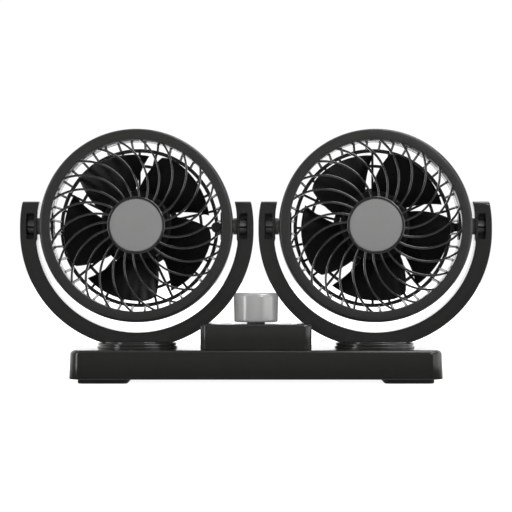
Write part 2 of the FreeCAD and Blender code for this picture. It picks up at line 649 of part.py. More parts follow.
def trunnion():
    """Split snap pin through the bezel's right side: head, shank, collar and barbed prongs."""
    head_end = math.sqrt(BEZEL_INNER_RADIUS ** 2 - TRUNNION_HEAD_RADIUS ** 2) - PRESS_GAP
    collar_start = BEZEL_RADIUS
    collar_end = collar_start + COLLAR_LENGTH
    barb = PAD_FACE + PAD_WALL + FACE_GAP
    tip = PAD_FACE + PAD_WALL + POCKET_WIDTH - PIN_SLOT_WIDTH / 2
    pin = revolve_about_x([
        (head_end - TRUNNION_HEAD_THICKNESS, 0), (head_end - TRUNNION_HEAD_THICKNESS, TRUNNION_HEAD_RADIUS),
        (head_end, TRUNNION_HEAD_RADIUS), (head_end, TRUNNION_SHANK_RADIUS),
        (collar_start, TRUNNION_SHANK_RADIUS), (collar_start, COLLAR_RADIUS),
        (collar_end, COLLAR_RADIUS), (collar_end, PIN_RADIUS), (barb, PIN_RADIUS),
        (barb, PIN_RADIUS + BARB_HEIGHT), (tip, PIN_TIP_RADIUS), (tip, 0)])
    slot = Part.makeBox(tip - collar_end, 4 * PIN_RADIUS, PIN_SLOT_WIDTH,
                        V(collar_end + PIN_SLOT_WIDTH, -2 * PIN_RADIUS, -PIN_SLOT_WIDTH / 2 - PIN_SLOT_DROP))
    return pin.cut(slot)


def yoke():
    """Fork round the head: half-round band, two arms with bearing pads and pockets, and a foot."""
    half = YOKE_DEPTH / 2
    low = -YOKE_DROP
    pad_edge = math.sqrt(YOKE_INNER_RADIUS ** 2 - (PAD_BOTTOM - YOKE_DROP) ** 2)

    def at(x, z):
        return V(x, -half, z)

    outer_arc = Part.Arc(at(-YOKE_OUTER_RADIUS, low), at(0, low - YOKE_OUTER_RADIUS),
                         at(YOKE_OUTER_RADIUS, low))
    inner_arc = Part.Arc(at(pad_edge, -PAD_BOTTOM), at(0, low - YOKE_INNER_RADIUS),
                         at(-pad_edge, -PAD_BOTTOM))
    outer_lean = [at(YOKE_OUTER_RADIUS - YOKE_LEAN * share ** 2, YOKE_ARM_TOP * share) for share in (0, 0.5, 1)]
    pad_top = COLLAR_RADIUS + RUNNING_GAP
    inner_lean = [at(PAD_FACE - PAD_LEAN * share ** 2, pad_top + (YOKE_ARM_TOP - pad_top) * share)
                  for share in (1, 0.5, 0)]
    arm = [Part.makeLine(at(YOKE_OUTER_RADIUS, low), outer_lean[0]), Part.Arc(*outer_lean).toShape(),
           Part.makeLine(outer_lean[-1], inner_lean[0]), Part.Arc(*inner_lean).toShape(),
           *Part.makePolygon([inner_lean[-1], at(PAD_FACE, -PAD_BOTTOM), at(pad_edge, -PAD_BOTTOM)]).Edges]
    other_arm = [edge.mirror(V(0, 0, 0), V(1, 0, 0)) for edge in reversed(arm)]
    wire = Part.Wire(Part.__sortEdges__([outer_arc.toShape(), *arm, inner_arc.toShape(), *other_arm]))
    band = Part.Face(wire).extrude(V(0, YOKE_DEPTH, 0))
    band = band.makeFillet(YOKE_EDGE_ROUND, level_edges(band, YOKE_ARM_TOP))
    foot_bottom = TURNTABLE_TOP - PIVOT_HEIGHT
    below = block(3 * YOKE_OUTER_RADIUS, 3 * YOKE_DEPTH, foot_bottom - YOKE_OUTER_RADIUS, foot_bottom)
    foot = upright(FOOT_RADIUS, foot_bottom, foot_bottom + FOOT_FLARE)
    solid = joined([band.cut(below), foot])
    pin_hole = Part.makeCylinder(PIN_RADIUS + RUNNING_GAP, 2 * YOKE_INNER_RADIUS + PAD_WALL,
                                 V(-YOKE_INNER_RADIUS - PAD_WALL / 2, 0, 0), V(1, 0, 0))
    pocket_x = PAD_FACE + PAD_WALL
    pocket_depth = YOKE_DEPTH - POCKET_BACK_WALL
    pockets = [Part.makeBox(POCKET_WIDTH, pocket_depth, POCKET_HEIGHT, V(x, -half, -POCKET_HEIGHT / 2))
               for x in (pocket_x, -pocket_x - POCKET_WIDTH)]
    pilots = [upright(YOKE_SCREW_RADIUS + PRESS_GAP, foot_bottom - OVERCUT,
                      YOKE_SCREW_SEAT - PIVOT_HEIGHT + YOKE_SCREW_LENGTH + FACE_GAP, x=x)
              for x in (-YOKE_SCREW_OFFSET, YOKE_SCREW_OFFSET)]
    return cut_by(solid, [pin_hole, *pockets, *pilots])


# Turntable pieces, about the swivel axis

def turntable():
    """Swivel disc with a grooved rim, and the spindle that turns in the base."""
    groove_low = BASE_TOP + (TURNTABLE_THICKNESS - TURNTABLE_GROOVE_WIDTH) / 2
    groove_high = groove_low + TURNTABLE_GROOVE_WIDTH
    upper_radius = TURNTABLE_RADIUS - TURNTABLE_STEP
    lower = upright(TURNTABLE_RADIUS, BASE_TOP, groove_low)
    neck = upright(TURNTABLE_RADIUS - TURNTABLE_GROOVE_DEPTH, BASE_TOP, TURNTABLE_TOP)
    upper = upright(upper_radius, groove_high, TURNTABLE_TOP)
    upper = upper.makeFillet(TURNTABLE_EDGE_ROUND, level_edges(upper, TURNTABLE_TOP))
    spindle = upright(SPINDLE_RADIUS, SPINDLE_BOTTOM, TURNTABLE_TOP)
    solid = joined([lower, neck, upper, spindle])
    screw_bore = upright(SWIVEL_SCREW_RADIUS + PRESS_GAP, SPINDLE_BOTTOM - OVERCUT,
                         SPINDLE_BOTTOM - SWIVEL_WASHER_THICKNESS + SWIVEL_SCREW_LENGTH + FACE_GAP)
    holes = [screw_bore]
    for x in (-YOKE_SCREW_OFFSET, YOKE_SCREW_OFFSET):
        holes.append(upright(YOKE_SCREW_RADIUS + PRESS_GAP, BASE_TOP, TURNTABLE_TOP + OVERCUT, x=x))
        holes.append(upright(YOKE_SCREW_HEAD + PRESS_GAP, BASE_TOP - OVERCUT, YOKE_SCREW_SEAT, x=x))
    return cut_by(solid, holes)


def swivel_washer():
    """Washer under the base's boss that keeps the spindle from lifting out."""
    washer = upright(SWIVEL_WASHER_RADIUS, SPINDLE_BOTTOM - SWIVEL_WASHER_THICKNESS, SPINDLE_BOTTOM)
    hole = hole_up(SWIVEL_SCREW_RADIUS + PRESS_GAP, SPINDLE_BOTTOM - SWIVEL_WASHER_THICKNESS,
                   SPINDLE_BOTTOM)
    return washer.cut(hole)


def swivel_screw():
    """Screw up through the washer into the spindle."""
    return screw(SWIVEL_SCREW_RADIUS, SWIVEL_SCREW_LENGTH, SWIVEL_SCREW_HEAD,
                 V(0, 0, SPINDLE_BOTTOM - SWIVEL_WASHER_THICKNESS), V(0, 0, 1))


def yoke_screws():
    """Two screws up through the turntable into the yoke's foot."""
    return Part.makeCompound([
        screw(YOKE_SCREW_RADIUS, YOKE_SCREW_LENGTH, YOKE_SCREW_HEAD,
              V(x, 0, YOKE_SCREW_SEAT), V(0, 0, 1))
        for x in (-YOKE_SCREW_OFFSET, YOKE_SCREW_OFFSET)])


# Base pieces

def cover_screw_places():
    """Four corners and the middle of both long sides."""
    x_end = BASE_LENGTH / 2 - COVER_BOSS_INSET
    y_end = BASE_DEPTH / 2 - COVER_BOSS_INSET
    return [(x, y) for x in (-x_end, 0.0, x_end) for y in (-y_end, y_end)]


def box_screw_places():
    """Four bosses near the corners of the control box."""
    x_end = BOX_LENGTH / 2 - BOX_BOSS_X_INSET
    y_end = BOX_DEPTH / 2 - BOX_BOSS_INSET
    return [(x, y) for x in (-x_end, x_end) for y in (-y_end, y_end)]


def base_shell():
    """Long housing, open below, with bosses for the cover and bearings for the turntables."""
    outer = rounded_block(BASE_LENGTH, BASE_DEPTH, BASE_BOTTOM, BASE_TOP, BASE_CORNER)
    outer = outer.makeFillet(BASE_TOP_ROUND, level_edges(outer, BASE_TOP))
    roof = BASE_TOP - BASE_WALL
    cavity = rounded_block(BASE_LENGTH - 2 * BASE_WALL, BASE_DEPTH - 2 * BASE_WALL,
                           BASE_BOTTOM - OVERCUT, roof, BASE_CORNER - BASE_WALL)
    swivels = (-HEAD_SPACING / 2, HEAD_SPACING / 2)
    bosses = [upright(COVER_BOSS_RADIUS, COVER_TOP, roof + BASE_WALL / 2, x, y)
              for x, y in cover_screw_places()]
    bosses += [upright(SPINDLE_RADIUS + RUNNING_GAP + SWIVEL_BOSS_WALL, roof - SWIVEL_BOSS_LENGTH,
                       roof + BASE_WALL / 2, x) for x in swivels]
    solid = joined([outer.cut(cavity), *bosses])
    tip = COVER_SCREW_SEAT + COVER_SCREW_LENGTH + FACE_GAP
    holes = [upright(COVER_SCREW_RADIUS + PRESS_GAP, COVER_TOP - OVERCUT, tip, x, y)
             for x, y in cover_screw_places()]
    holes += [upright(SPINDLE_RADIUS + RUNNING_GAP, BASE_BOTTOM, BASE_TOP + OVERCUT, x) for x in swivels]
    holes += [hole_up(BOX_SCREW_RADIUS + PRESS_GAP, roof, BASE_TOP, x, y)
              for x, y in box_screw_places()]
    holes.append(block(BOX_WELL_LENGTH, BOX_WELL_DEPTH, roof - OVERCUT, BASE_TOP + OVERCUT))
    holes.append(hole_y(GROMMET_RADIUS + PRESS_GAP, BASE_DEPTH / 2 - BASE_WALL, BASE_DEPTH / 2,
                         GROMMET_OFFSET, BASE_BOTTOM + BASE_HEIGHT / 2))
    return cut_by(solid, holes)


def standoff_places():
    """Posts under two opposite corners of the circuit board."""
    x_end = BOARD_LENGTH / 2 - STANDOFF_INSET
    y_end = BOARD_DEPTH / 2 - STANDOFF_INSET
    return [(-BOARD_OFFSET - x_end, -y_end), (-BOARD_OFFSET + x_end, y_end)]


def base_cover():
    """Plate that closes the housing below, with recessed screws and posts for the board."""
    inset = 2 * (BASE_WALL + SHELL_GAP)
    plate = rounded_block(BASE_LENGTH - inset, BASE_DEPTH - inset, BASE_BOTTOM, COVER_TOP,
                          BASE_CORNER - BASE_WALL)
    posts = [upright(STANDOFF_RADIUS, BASE_BOTTOM, COVER_TOP + STANDOFF_HEIGHT, x, y)
             for x, y in standoff_places()]
    holes = []
    for x, y in cover_screw_places():
        holes.append(hole_up(COVER_SCREW_RADIUS + PRESS_GAP, BASE_BOTTOM, COVER_TOP, x, y))
        holes.append(upright(COVER_SCREW_HEAD + PRESS_GAP, BASE_BOTTOM - OVERCUT, COVER_SCREW_SEAT, x, y))
    holes += [upright(BOARD_SCREW_RADIUS + PRESS_GAP, COVER_TOP, COVER_TOP + STANDOFF_HEIGHT + OVERCUT, x, y)
              for x, y in standoff_places()]
    return cut_by(joined([plate, *posts]), holes)


def cover_screws():
    """Screws up through the cover into the housing's bosses."""
    return Part.makeCompound([
        screw(COVER_SCREW_RADIUS, COVER_SCREW_LENGTH, COVER_SCREW_HEAD, V(x, y, COVER_SCREW_SEAT), V(0, 0, 1))
        for x, y in cover_screw_places()])


def foot_pad(side):
    """Rubber pad under one end of the base, with a slanted inner end."""
    outer = BASE_LENGTH / 2 - FOOT_PAD_INSET
    inner = outer - FOOT_PAD_LENGTH
    width = BASE_DEPTH - 2 * FOOT_PAD_INSET
    middle = side * (outer + inner) / 2
    pad = rounded_block(FOOT_PAD_LENGTH, width, 0, FOOT_PAD_THICKNESS, FOOT_PAD_CORNER)
    slant = polygon_face([V(-side * FOOT_PAD_LENGTH / 2, -width, 0),
                          V(-side * (FOOT_PAD_LENGTH / 2 - FOOT_PAD_SLANT), -width, 0),
                          V(-side * FOOT_PAD_LENGTH / 2, -width, FOOT_PAD_THICKNESS)])
    return moved(pad.cut(slant.extrude(V(0, 2 * width, 0))), x=middle)


def control_box():
    """Raised box between the heads, hollowed out where the yokes swing past it."""
    outer = rounded_block(BOX_LENGTH, BOX_DEPTH, BASE_TOP, BOX_TOP, BOX_CORNER)
    swivels = (-HEAD_SPACING / 2, HEAD_SPACING / 2)
    below_axis = PIVOT_HEIGHT - YOKE_DROP - BOX_TOP
    yoke_reach = math.sqrt(YOKE_OUTER_RADIUS ** 2 - below_axis ** 2)
    swing = math.hypot(yoke_reach, YOKE_DEPTH / 2) + SWING_GAP
    outer = outer.cut([hole_up(swing, BASE_TOP, BOX_TOP, x) for x in swivels])
    outer = outer.makeFillet(BOX_TOP_ROUND, level_edges(outer, BOX_TOP))
    ceiling = BOX_TOP - BOX_WALL
    cavity = rounded_block(BOX_LENGTH - 2 * BOX_WALL, BOX_DEPTH - 2 * BOX_WALL, BASE_TOP - OVERCUT, ceiling,
                           BOX_CORNER - BOX_WALL)
    cavity = cavity.cut([hole_up(swing + BOX_WALL, BASE_TOP - OVERCUT, BOX_TOP, x) for x in swivels])
    bosses = [upright(BOX_BOSS_RADIUS, BASE_TOP, ceiling + BOX_WALL / 2, x, y)
              for x, y in box_screw_places()]
    solid = joined([outer.cut(cavity), *bosses])
    tip = BASE_TOP - BASE_WALL + BOX_SCREW_LENGTH + FACE_GAP
    holes = [upright(BOX_SCREW_RADIUS + PRESS_GAP, BASE_TOP - OVERCUT, tip, x, y)
             for x, y in box_screw_places()]
    holes.append(hole_up(SWITCH_BUSH_RADIUS + PRESS_GAP, ceiling, BOX_TOP, y=-KNOB_FORWARD))
    return cut_by(solid, holes)


def box_screws():
    """Screws from inside the housing up into the control box."""
    return Part.makeCompound([
        screw(BOX_SCREW_RADIUS, BOX_SCREW_LENGTH, BOX_SCREW_HEAD, V(x, y, BASE_TOP - BASE_WALL), V(0, 0, 1))
        for x, y in box_screw_places()])


def rotary_switch():
    """Square switch body under the box's top, with the threaded bush that the shaft turns in."""
    top = BOX_TOP - BOX_WALL
    body = block(SWITCH_SIDE, SWITCH_SIDE, top - SWITCH_DEPTH, top)
    bush = upright(SWITCH_BUSH_RADIUS, top - BOX_WALL, BOX_TOP + SWITCH_BUSH_HEIGHT)
    bore = upright(SWITCH_SHAFT_RADIUS + RUNNING_GAP, SWITCH_SHAFT_BOTTOM - FACE_GAP,
                   BOX_TOP + SWITCH_BUSH_HEIGHT + OVERCUT)
    return joined([body, bush]).cut(bore)


def switch_nut():
    """Six-sided nut that clamps the switch to the box."""
    radius = SWITCH_NUT_ACROSS / math.sqrt(3)
    turns = [math.radians(60 * index + 30) for index in range(6)]
    corners = [V(radius * math.cos(turn), radius * math.sin(turn), BOX_TOP) for turn in turns]
    nut = polygon_face(corners).extrude(V(0, 0, SWITCH_NUT_THICKNESS))
    return nut.cut(hole_up(SWITCH_BUSH_RADIUS + PRESS_GAP, BOX_TOP, BOX_TOP + SWITCH_NUT_THICKNESS))


def flatted_shaft(bottom, top, gap=0.0):
    """Switch shaft, grown by a gap all round, whose end in the knob has a flat at the back."""
    radius = SWITCH_SHAFT_RADIUS + gap
    flat = block(4 * radius, 2 * radius, KNOB_BORE_BOTTOM, top + OVERCUT,
                 y=2 * radius - SWITCH_SHAFT_FLAT)
    return upright(radius, bottom, top).cut(flat)


def switch_shaft():
    """Shaft of the switch, with a flat in the knob."""
    return flatted_shaft(SWITCH_SHAFT_BOTTOM, KNOB_BORE_BOTTOM + SWITCH_SHAFT_ENGAGE)


def speed_knob():
    """Round knob, recessed below for the nut and bored for the flatted shaft."""
    bottom = BOX_TOP + KNOB_LIFT
    top = bottom + KNOB_HEIGHT
    knob = upright(KNOB_RADIUS, bottom, top)
    knob = knob.makeFillet(KNOB_EDGE_ROUND, level_edges(knob, top))
    recess = upright(KNOB_RECESS_RADIUS, bottom - OVERCUT, KNOB_BORE_BOTTOM)
    bore = flatted_shaft(KNOB_BORE_BOTTOM, KNOB_BORE_BOTTOM + SWITCH_SHAFT_ENGAGE + FACE_GAP, PRESS_GAP)
    return cut_by(knob, [recess, bore])


def circuit_board():
    """Board on two posts of the cover."""
    bottom = COVER_TOP + STANDOFF_HEIGHT
    board = block(BOARD_LENGTH, BOARD_DEPTH, bottom, bottom + BOARD_THICKNESS, -BOARD_OFFSET)
    return cut_by(board, [hole_up(BOARD_SCREW_RADIUS + PRESS_GAP, bottom, bottom + BOARD_THICKNESS, x, y)
                          for x, y in standoff_places()])


def board_screws():
    """Two screws through the board into the posts."""
    top = COVER_TOP + STANDOFF_HEIGHT + BOARD_THICKNESS
    return Part.makeCompound([
        screw(BOARD_SCREW_RADIUS, BOARD_SCREW_LENGTH, BOARD_SCREW_HEAD, V(x, y, top), V(0, 0, -1))
        for x, y in standoff_places()])


def speed_resistor():
    """Cement resistor on the board that gives the low speed."""
    bottom = COVER_TOP + STANDOFF_HEIGHT + BOARD_THICKNESS
    return block(RESISTOR_LENGTH, RESISTOR_WIDTH, bottom, bottom + RESISTOR_HEIGHT, -BOARD_OFFSET)


def lead_grommet():
    """Bush in the back wall for the supply lead, flush outside and flanged inside."""
    back = BASE_DEPTH / 2
    inside = back - BASE_WALL
    height = BASE_BOTTOM + BASE_HEIGHT / 2
    body = along_y(GROMMET_RADIUS, inside, back, GROMMET_OFFSET, height)
    flange = along_y(GROMMET_FLANGE_RADIUS, inside - GROMMET_FLANGE_THICKNESS, inside, GROMMET_OFFSET, height)
    bore = hole_y(GROMMET_BORE, inside - GROMMET_FLANGE_THICKNESS, back, GROMMET_OFFSET, height)
    return joined([body, flange]).cut(bore)


def head_pieces():
    """The pieces that both heads share, about the tilt axis."""
    return {
        "front_grille": front_grille(), "hub_badge": hub_badge(), "rear_grille": rear_grille(),
        "grille_screws": grille_screws(), "motor_can": motor_can(), "motor_magnets": motor_magnets(),
        "motor_endcap": motor_endcap(), "motor_bushes": motor_bushes(), "motor_screws": motor_screws(),
        "armature": armature(), "motor_shaft": motor_shaft()}


def swivel_pieces():
    """The pieces that both heads share, about the swivel axis."""
    return {"turntable": turntable(), "swivel_washer": swivel_washer(), "swivel_screw": swivel_screw(),
            "yoke_screws": yoke_screws()}


def trunnions(side):
    """The two tilt pins of one head: the outer one faces away from the middle of the fan."""
    right_pin = trunnion()
    left_pin = right_pin.copy()
    left_pin.rotate(V(0, 0, 0), V(0, 0, 1), 180)
    outer, inner = (right_pin, left_pin) if side > 0 else (left_pin, right_pin)
    return {"outer_trunnion": outer, "inner_trunnion": inner}


def switch_pieces():
    """The switch and its knob, about the knob's axis."""
    return {"rotary_switch": rotary_switch(), "switch_nut": switch_nut(), "switch_shaft": switch_shaft(),
            "speed_knob": speed_knob()}


def base_pieces():
    """Everything else that stands still."""
    return {
        "base_shell": base_shell(), "base_cover": base_cover(), "cover_screws": cover_screws(),
        "left_foot_pad": foot_pad(-1), "right_foot_pad": foot_pad(1), "control_box": control_box(),
        "box_screws": box_screws(), "circuit_board": circuit_board(), "board_screws": board_screws(),
        "speed_resistor": speed_resistor(), "lead_grommet": lead_grommet()}


def all_nodes():
    """Every piece of the fan by its node name, in place."""
    nodes = base_pieces()
    nodes.update({piece: moved(shape, y=-KNOB_FORWARD) for piece, shape in switch_pieces().items()})
    shared_head = head_pieces()
    fork = yoke()
    about_swivel = swivel_pieces()
    for name, side, phase in (("left_", -1, LEFT_BLADE_PHASE), ("right_", 1, RIGHT_BLADE_PHASE)):
        x = side * HEAD_SPACING / 2
        head = {"impeller": impeller(phase), **trunnions(side), **shared_head}
        about_tilt = {"yoke": fork, **{piece: facing_up(shape) for piece, shape in head.items()}}
        nodes.update({name + piece: moved(shape, x=x, z=PIVOT_HEIGHT) for piece, shape in about_tilt.items()})
        nodes.update({name + piece: moved(shape, x=x) for piece, shape in about_swivel.items()})
    return nodes


os.makedirs("parts", exist_ok=True)
for node_name, node_shape in all_nodes().items():
    node_shape.exportStep("parts/" + node_name + ".step")
    print(node_name, len(node_shape.Solids), "solids", round(node_shape.Volume, 1), "mm3",
          "valid" if node_shape.isValid() else "NOT VALID")
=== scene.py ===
"""Looks of the dual head car fan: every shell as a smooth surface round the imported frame.

Metres, +Z up, the front faces -Y. Angles about a fan axis are in degrees and run clockwise as seen from the
front, starting straight up.
"""
import json
import math

import bmesh
import bpy
import numpy as np
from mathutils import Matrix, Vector

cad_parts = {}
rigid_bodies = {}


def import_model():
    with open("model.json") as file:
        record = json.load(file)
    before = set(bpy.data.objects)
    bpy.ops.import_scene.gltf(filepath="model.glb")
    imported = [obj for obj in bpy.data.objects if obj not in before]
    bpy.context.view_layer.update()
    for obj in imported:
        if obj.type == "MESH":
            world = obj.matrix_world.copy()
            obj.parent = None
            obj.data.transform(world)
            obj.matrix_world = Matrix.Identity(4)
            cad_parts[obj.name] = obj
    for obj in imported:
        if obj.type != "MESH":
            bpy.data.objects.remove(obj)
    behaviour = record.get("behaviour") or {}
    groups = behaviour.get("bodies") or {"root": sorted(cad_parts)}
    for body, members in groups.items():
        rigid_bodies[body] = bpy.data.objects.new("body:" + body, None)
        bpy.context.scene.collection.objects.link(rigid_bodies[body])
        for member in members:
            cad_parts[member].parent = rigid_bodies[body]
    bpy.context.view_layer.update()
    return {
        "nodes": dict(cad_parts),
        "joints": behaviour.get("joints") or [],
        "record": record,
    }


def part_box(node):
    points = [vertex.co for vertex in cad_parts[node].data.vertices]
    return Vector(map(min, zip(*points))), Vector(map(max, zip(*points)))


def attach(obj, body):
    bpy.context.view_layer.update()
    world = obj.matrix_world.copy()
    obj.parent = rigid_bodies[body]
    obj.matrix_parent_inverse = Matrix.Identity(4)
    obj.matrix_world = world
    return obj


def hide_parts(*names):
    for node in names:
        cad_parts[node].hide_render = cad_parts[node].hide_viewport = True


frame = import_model()

MM = 0.001
LEAST = 0.05 * MM  # smallest radius that a corner shrinks to
MERGE = 0.001 * MM  # points closer than this become one
OVERCUT = 1.0 * MM  # how far a cutter reaches past the wall it cuts
SHARP_ANGLE = 32.0  # degrees, an edge that turns further stays crisp
SIDES = ("left", "right")
ACROSS = np.array([1.0, 0.0, 0.0])
MIRROR = np.array([-1.0, 1.0, 1.0])
IN_PLAN = np.array([1, 1, 0])
IN_FRONT_VIEW = np.array([1, 0, 1])
JOINTS = {joint["name"]: joint for joint in frame["joints"]}
CAD = frame["nodes"]

# Sides of round forms, from the bezel down to the screw holes

BEZEL_STEPS = 192
WIDE_STEPS = 160
ROUND_STEPS = 128
HUB_STEPS = 96
HOLE_STEPS = 48
BOSS_STEPS = 32
SCREW_STEPS = 24


def cad_corners(node):
    """Lowest and highest corner of a CAD node as arrays."""
    return tuple(np.array(corner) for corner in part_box(node))


def head_centre(side):
    """Where the tilt axis and the fan axis of a head cross."""
    return np.array(JOINTS[side + "_tilt"]["pos_m"])


def fan_axis(side):
    """Direction of a head's fan axis, from front to back."""
    return np.array(JOINTS[side + "_spin"]["axis"], float)


# Sizes of the head

BEZEL_RADIUS = 56.3 * MM
BEZEL_OPENING = 50.0 * MM
BEZEL_FRONT = -14.0 * MM
BEZEL_BACK = 8.0 * MM
BEZEL_WALL = 2.5 * MM
BEZEL_INNER_WALL = 1.3 * MM
THROAT_BAND = 0.2 * MM  # how near the opening a face counts as its wall
HUB_RIM_RADIUS = 16.9 * MM
HUB_DEPTH = 4.4 * MM
HUB_PROUD = 0.4 * MM
BADGE_RADIUS = 15.25 * MM
BADGE_THICKNESS = 1.5 * MM
BADGE_CROWN = 0.5 * MM
SPOKE_COUNT = 24
SPOKE_FIRST = 6.0
SPOKE_SWEEP = 33.0
SPOKE_BULGE = 0.18
SPOKE_WIDTH = 1.2 * MM
SPOKE_DEPTH = 3.0 * MM
SPOKE_ROOT = 0.9 * MM
SPOKE_EDGE = 0.06 * MM
SPOKE_BEVEL = 0.3 * MM
SPOKE_BEVEL_DEPTH = 0.18 * MM
SEAT_GAP = 0.05 * MM
SLEEVE_GAP = 0.03 * MM
BADGE_EDGE = 0.3 * MM
DOME_RISE = 1.0 * MM
DOME_EDGE = BEZEL_FRONT + 0.8 * MM
FLANGE_INNER = 50.0 * MM
FLANGE_OUTER = 53.6 * MM
FLANGE_FRONT = 5.9 * MM
FLANGE_BACK = 7.9 * MM
SIDE_RIB_COUNT = 40
SIDE_RIB_FIRST = 180.0 / SIDE_RIB_COUNT  # half a gap, so that a gap is straight up
SIDE_RIB_WIDTH = 1.5 * MM
SIDE_RIB_THICKNESS = 1.7 * MM
REAR_RING_RADIUS = 47.3 * MM
REAR_RING_WIDTH = 2.2 * MM
REAR_RING_BACK = 22.0 * MM
REAR_RING_DEPTH = 2.4 * MM
MID_RING_RADIUS = 37.9 * MM
MID_RING_WIDTH = 1.8 * MM
REAR_SPOKE_COUNT = 28
REAR_SPOKE_WIDTH = 1.5 * MM
CUP_RADIUS = 14.2 * MM
CUP_WALL = 1.8 * MM
CUP_FRONT = 7.0 * MM
CUP_BACK = 28.0 * MM
MOTOR_PLATE_RADIUS = 23.6 * MM
VENT_COUNT = 6
VENT_RADIUS = 1.3 * MM
VENT_CIRCLE = 4.6 * MM
MOTOR_SCREW_CIRCLE = 8.2 * MM
MOTOR_SCREW_HOLE = 1.0 * MM
LEAD_BOSS_RADIUS = 3.2 * MM
LEAD_BOSS_BORE = 1.6 * MM
LEAD_BOSS_LENGTH = 9.5 * MM
LEAD_BOSS_FLOOR = 1.5 * MM
LEAD_DUCT_WIDTH = 5.1 * MM
LEAD_DUCT_TURN = 90.0
RIB_EDGE = 0.35 * MM
FLANGE_EDGE = 0.1 * MM
RING_EDGE = 0.3 * MM
SCREW_COUNT = 4
SCREW_FIRST = 45.0
SCREW_CIRCLE = 52.05 * MM
SCREW_BOSS_RADIUS = 2.0 * MM
SCREW_HOLE_RADIUS = 0.85 * MM
PIN_SHANK_RADIUS = 3.05 * MM
PIN_SEAT = 48.8 * MM
PIN_SEAT_DEPTH = 9.0 * MM
PIN_SEAT_HEIGHT = 16.0 * MM

# Sizes of the impeller

BLADE_COUNT = 5
BLADE_TIP_RADIUS = 44.4 * MM
BLADE_TIP_DROP = 1.9 * MM
BLADE_TIP_SPAN = 60.2
BLADE_ROOT_SPAN = 64.5
BLADE_SWEEP = 15.3
BLADE_FRONT = -8.0 * MM
BLADE_BACK = 7.6 * MM
BLADE_THICKNESS = 1.6 * MM
BLADE_CAMBER = 1.6 * MM
BLADE_TIP_ROUND = 2.0 * MM
BLADE_ROUND_SHARE = 0.15
BLADE_FULLNESS = 0.6
BLADE_THIN_FROM = 0.97
BLADE_PHASE = {"left": 10.0, "right": 1.1}
IMPELLER_HUB_RADIUS = 20.5 * MM
IMPELLER_HUB_WALL = 2.0 * MM
IMPELLER_HUB_GAP = 2.0 * MM
IMPELLER_BOSS_RADIUS = 4.0 * MM
IMPELLER_BOSS_LENGTH = 9.0 * MM
SHAFT_BORE = 1.05 * MM

# Sizes of the yoke and turntable

PAD_FACE = 58.3 * MM
YOKE_INNER = 59.2 * MM
YOKE_OUTER = 68.2 * MM
YOKE_HALF_DEPTH = 7.0 * MM
YOKE_DROP = 2.9 * MM
YOKE_ARM_TOP = 14.5 * MM
YOKE_EDGE = 0.5 * MM
YOKE_TOP_ROUND = 2.2 * MM
YOKE_TOP_SHARE = 0.1
PAD_BOTTOM = 8.3 * MM
WINDOW_INNER = 60.0 * MM
WINDOW_OUTER = 64.5 * MM
WINDOW_HALF_HEIGHT = 7.45 * MM
WINDOW_BACK_WALL = 2.0 * MM
WINDOW_CORNER = 0.5 * MM
PIN_HOLE_RADIUS = 4.45 * MM
PAD_CHAMFER = 0.9 * MM
YOKE_LEAN = 1.5 * MM
PAD_LEAN = 1.3 * MM
PAD_TOP = 5.0 * MM
SPINDLE_RADIUS = 7.0 * MM
SWIVEL_BOSS_WALL = 3.0 * MM
SWIVEL_BOSS_LENGTH = 6.0 * MM
FOOT_RADIUS = 20.0 * MM
FOOT_FLARE = 1.0 * MM
TURNTABLE_RADIUS = 23.5 * MM
TURNTABLE_STEP = 0.3 * MM
GROOVE_DEPTH = 0.9 * MM
GROOVE_WIDTH = 0.5 * MM

# Sizes of the base, box, knob and pads

BASE_CORNER = 8.5 * MM
BASE_TOP_ROUND = 2.4 * MM
BASE_DRAFT = 0.7 * MM
BASE_WALL = 2.2 * MM
WELL_LENGTH = 34.0 * MM
WELL_DEPTH = 36.0 * MM
BOX_CORNER = 5.0 * MM
BOX_TOP_ROUND = 1.6 * MM
BOX_WALL = 2.0 * MM
BUSH_HOLE_RADIUS = 4.25 * MM
SWING_RADIUS = 43.2 * MM  # room for a yoke to swing past the box
KNOB_RECESS = 8.0 * MM
KNOB_RECESS_DEPTH = 2.6 * MM
KNOB_BORE = 3.05 * MM
KNOB_BORE_DEPTH = 9.1 * MM
POINTER_START = 0.45
POINTER_END = 0.95
POINTER_WIDTH = 1.6 * MM
POINTER_DEPTH = 0.6 * MM
POINTER_CORNER = 0.4 * MM
DIAL_REST = math.radians(-90.0)  # the pointer at rest, at the left
PAD_EDGE = 0.6 * MM
PAD_CORNER = 4.0 * MM
PAD_SLANT = 1.5 * MM
PAD_SLANT_POWER = 4
GROMMET_RADIUS = 4.0 * MM
GROMMET_BORE = 2.2 * MM

# Corner radii of the outlines, each in the order of its corners, and the fine bevels of two lower rims

BEZEL_ROUNDS = np.array([0.6, 1.8, 0.7, 0.5, 0.8, 0.8, 0.1, 0.05]) * MM
HUB_ROUNDS = np.array([0, 0, 0.35, 0.7, 0.8, 0]) * MM
CUP_ROUNDS = np.array([0, 0.3, 0.4, 0.4, 1.4, 0]) * MM
LEAD_BOSS_ROUNDS = np.array([0, 0.4, 0.4, 0]) * MM
IMPELLER_ROUNDS = np.array([0, 1.6, 0.5, 0.5, 0.8, 0.5, 0.4, 0]) * MM
FOOT_ROUNDS = np.array([0, 0, 0.5, 0]) * MM
TURNTABLE_ROUNDS = np.array([0, 0.4, 0, 0.25, 0.3, 0.08, 0.08, 0.25, 0.6, 0]) * MM
KNOB_ROUNDS = np.array([0, 0.4, 0.4, 1.3, 2.2, 0]) * MM
GROMMET_ROUNDS = np.array([0.4, 0.4, 0, 0, 0.3, 0.6]) * MM
BASE_RIM = np.array([0, 0.15, 0.5]) * MM
BOX_RIM = np.array([0, 0.12, 0.4]) * MM

# Places taken from the frame

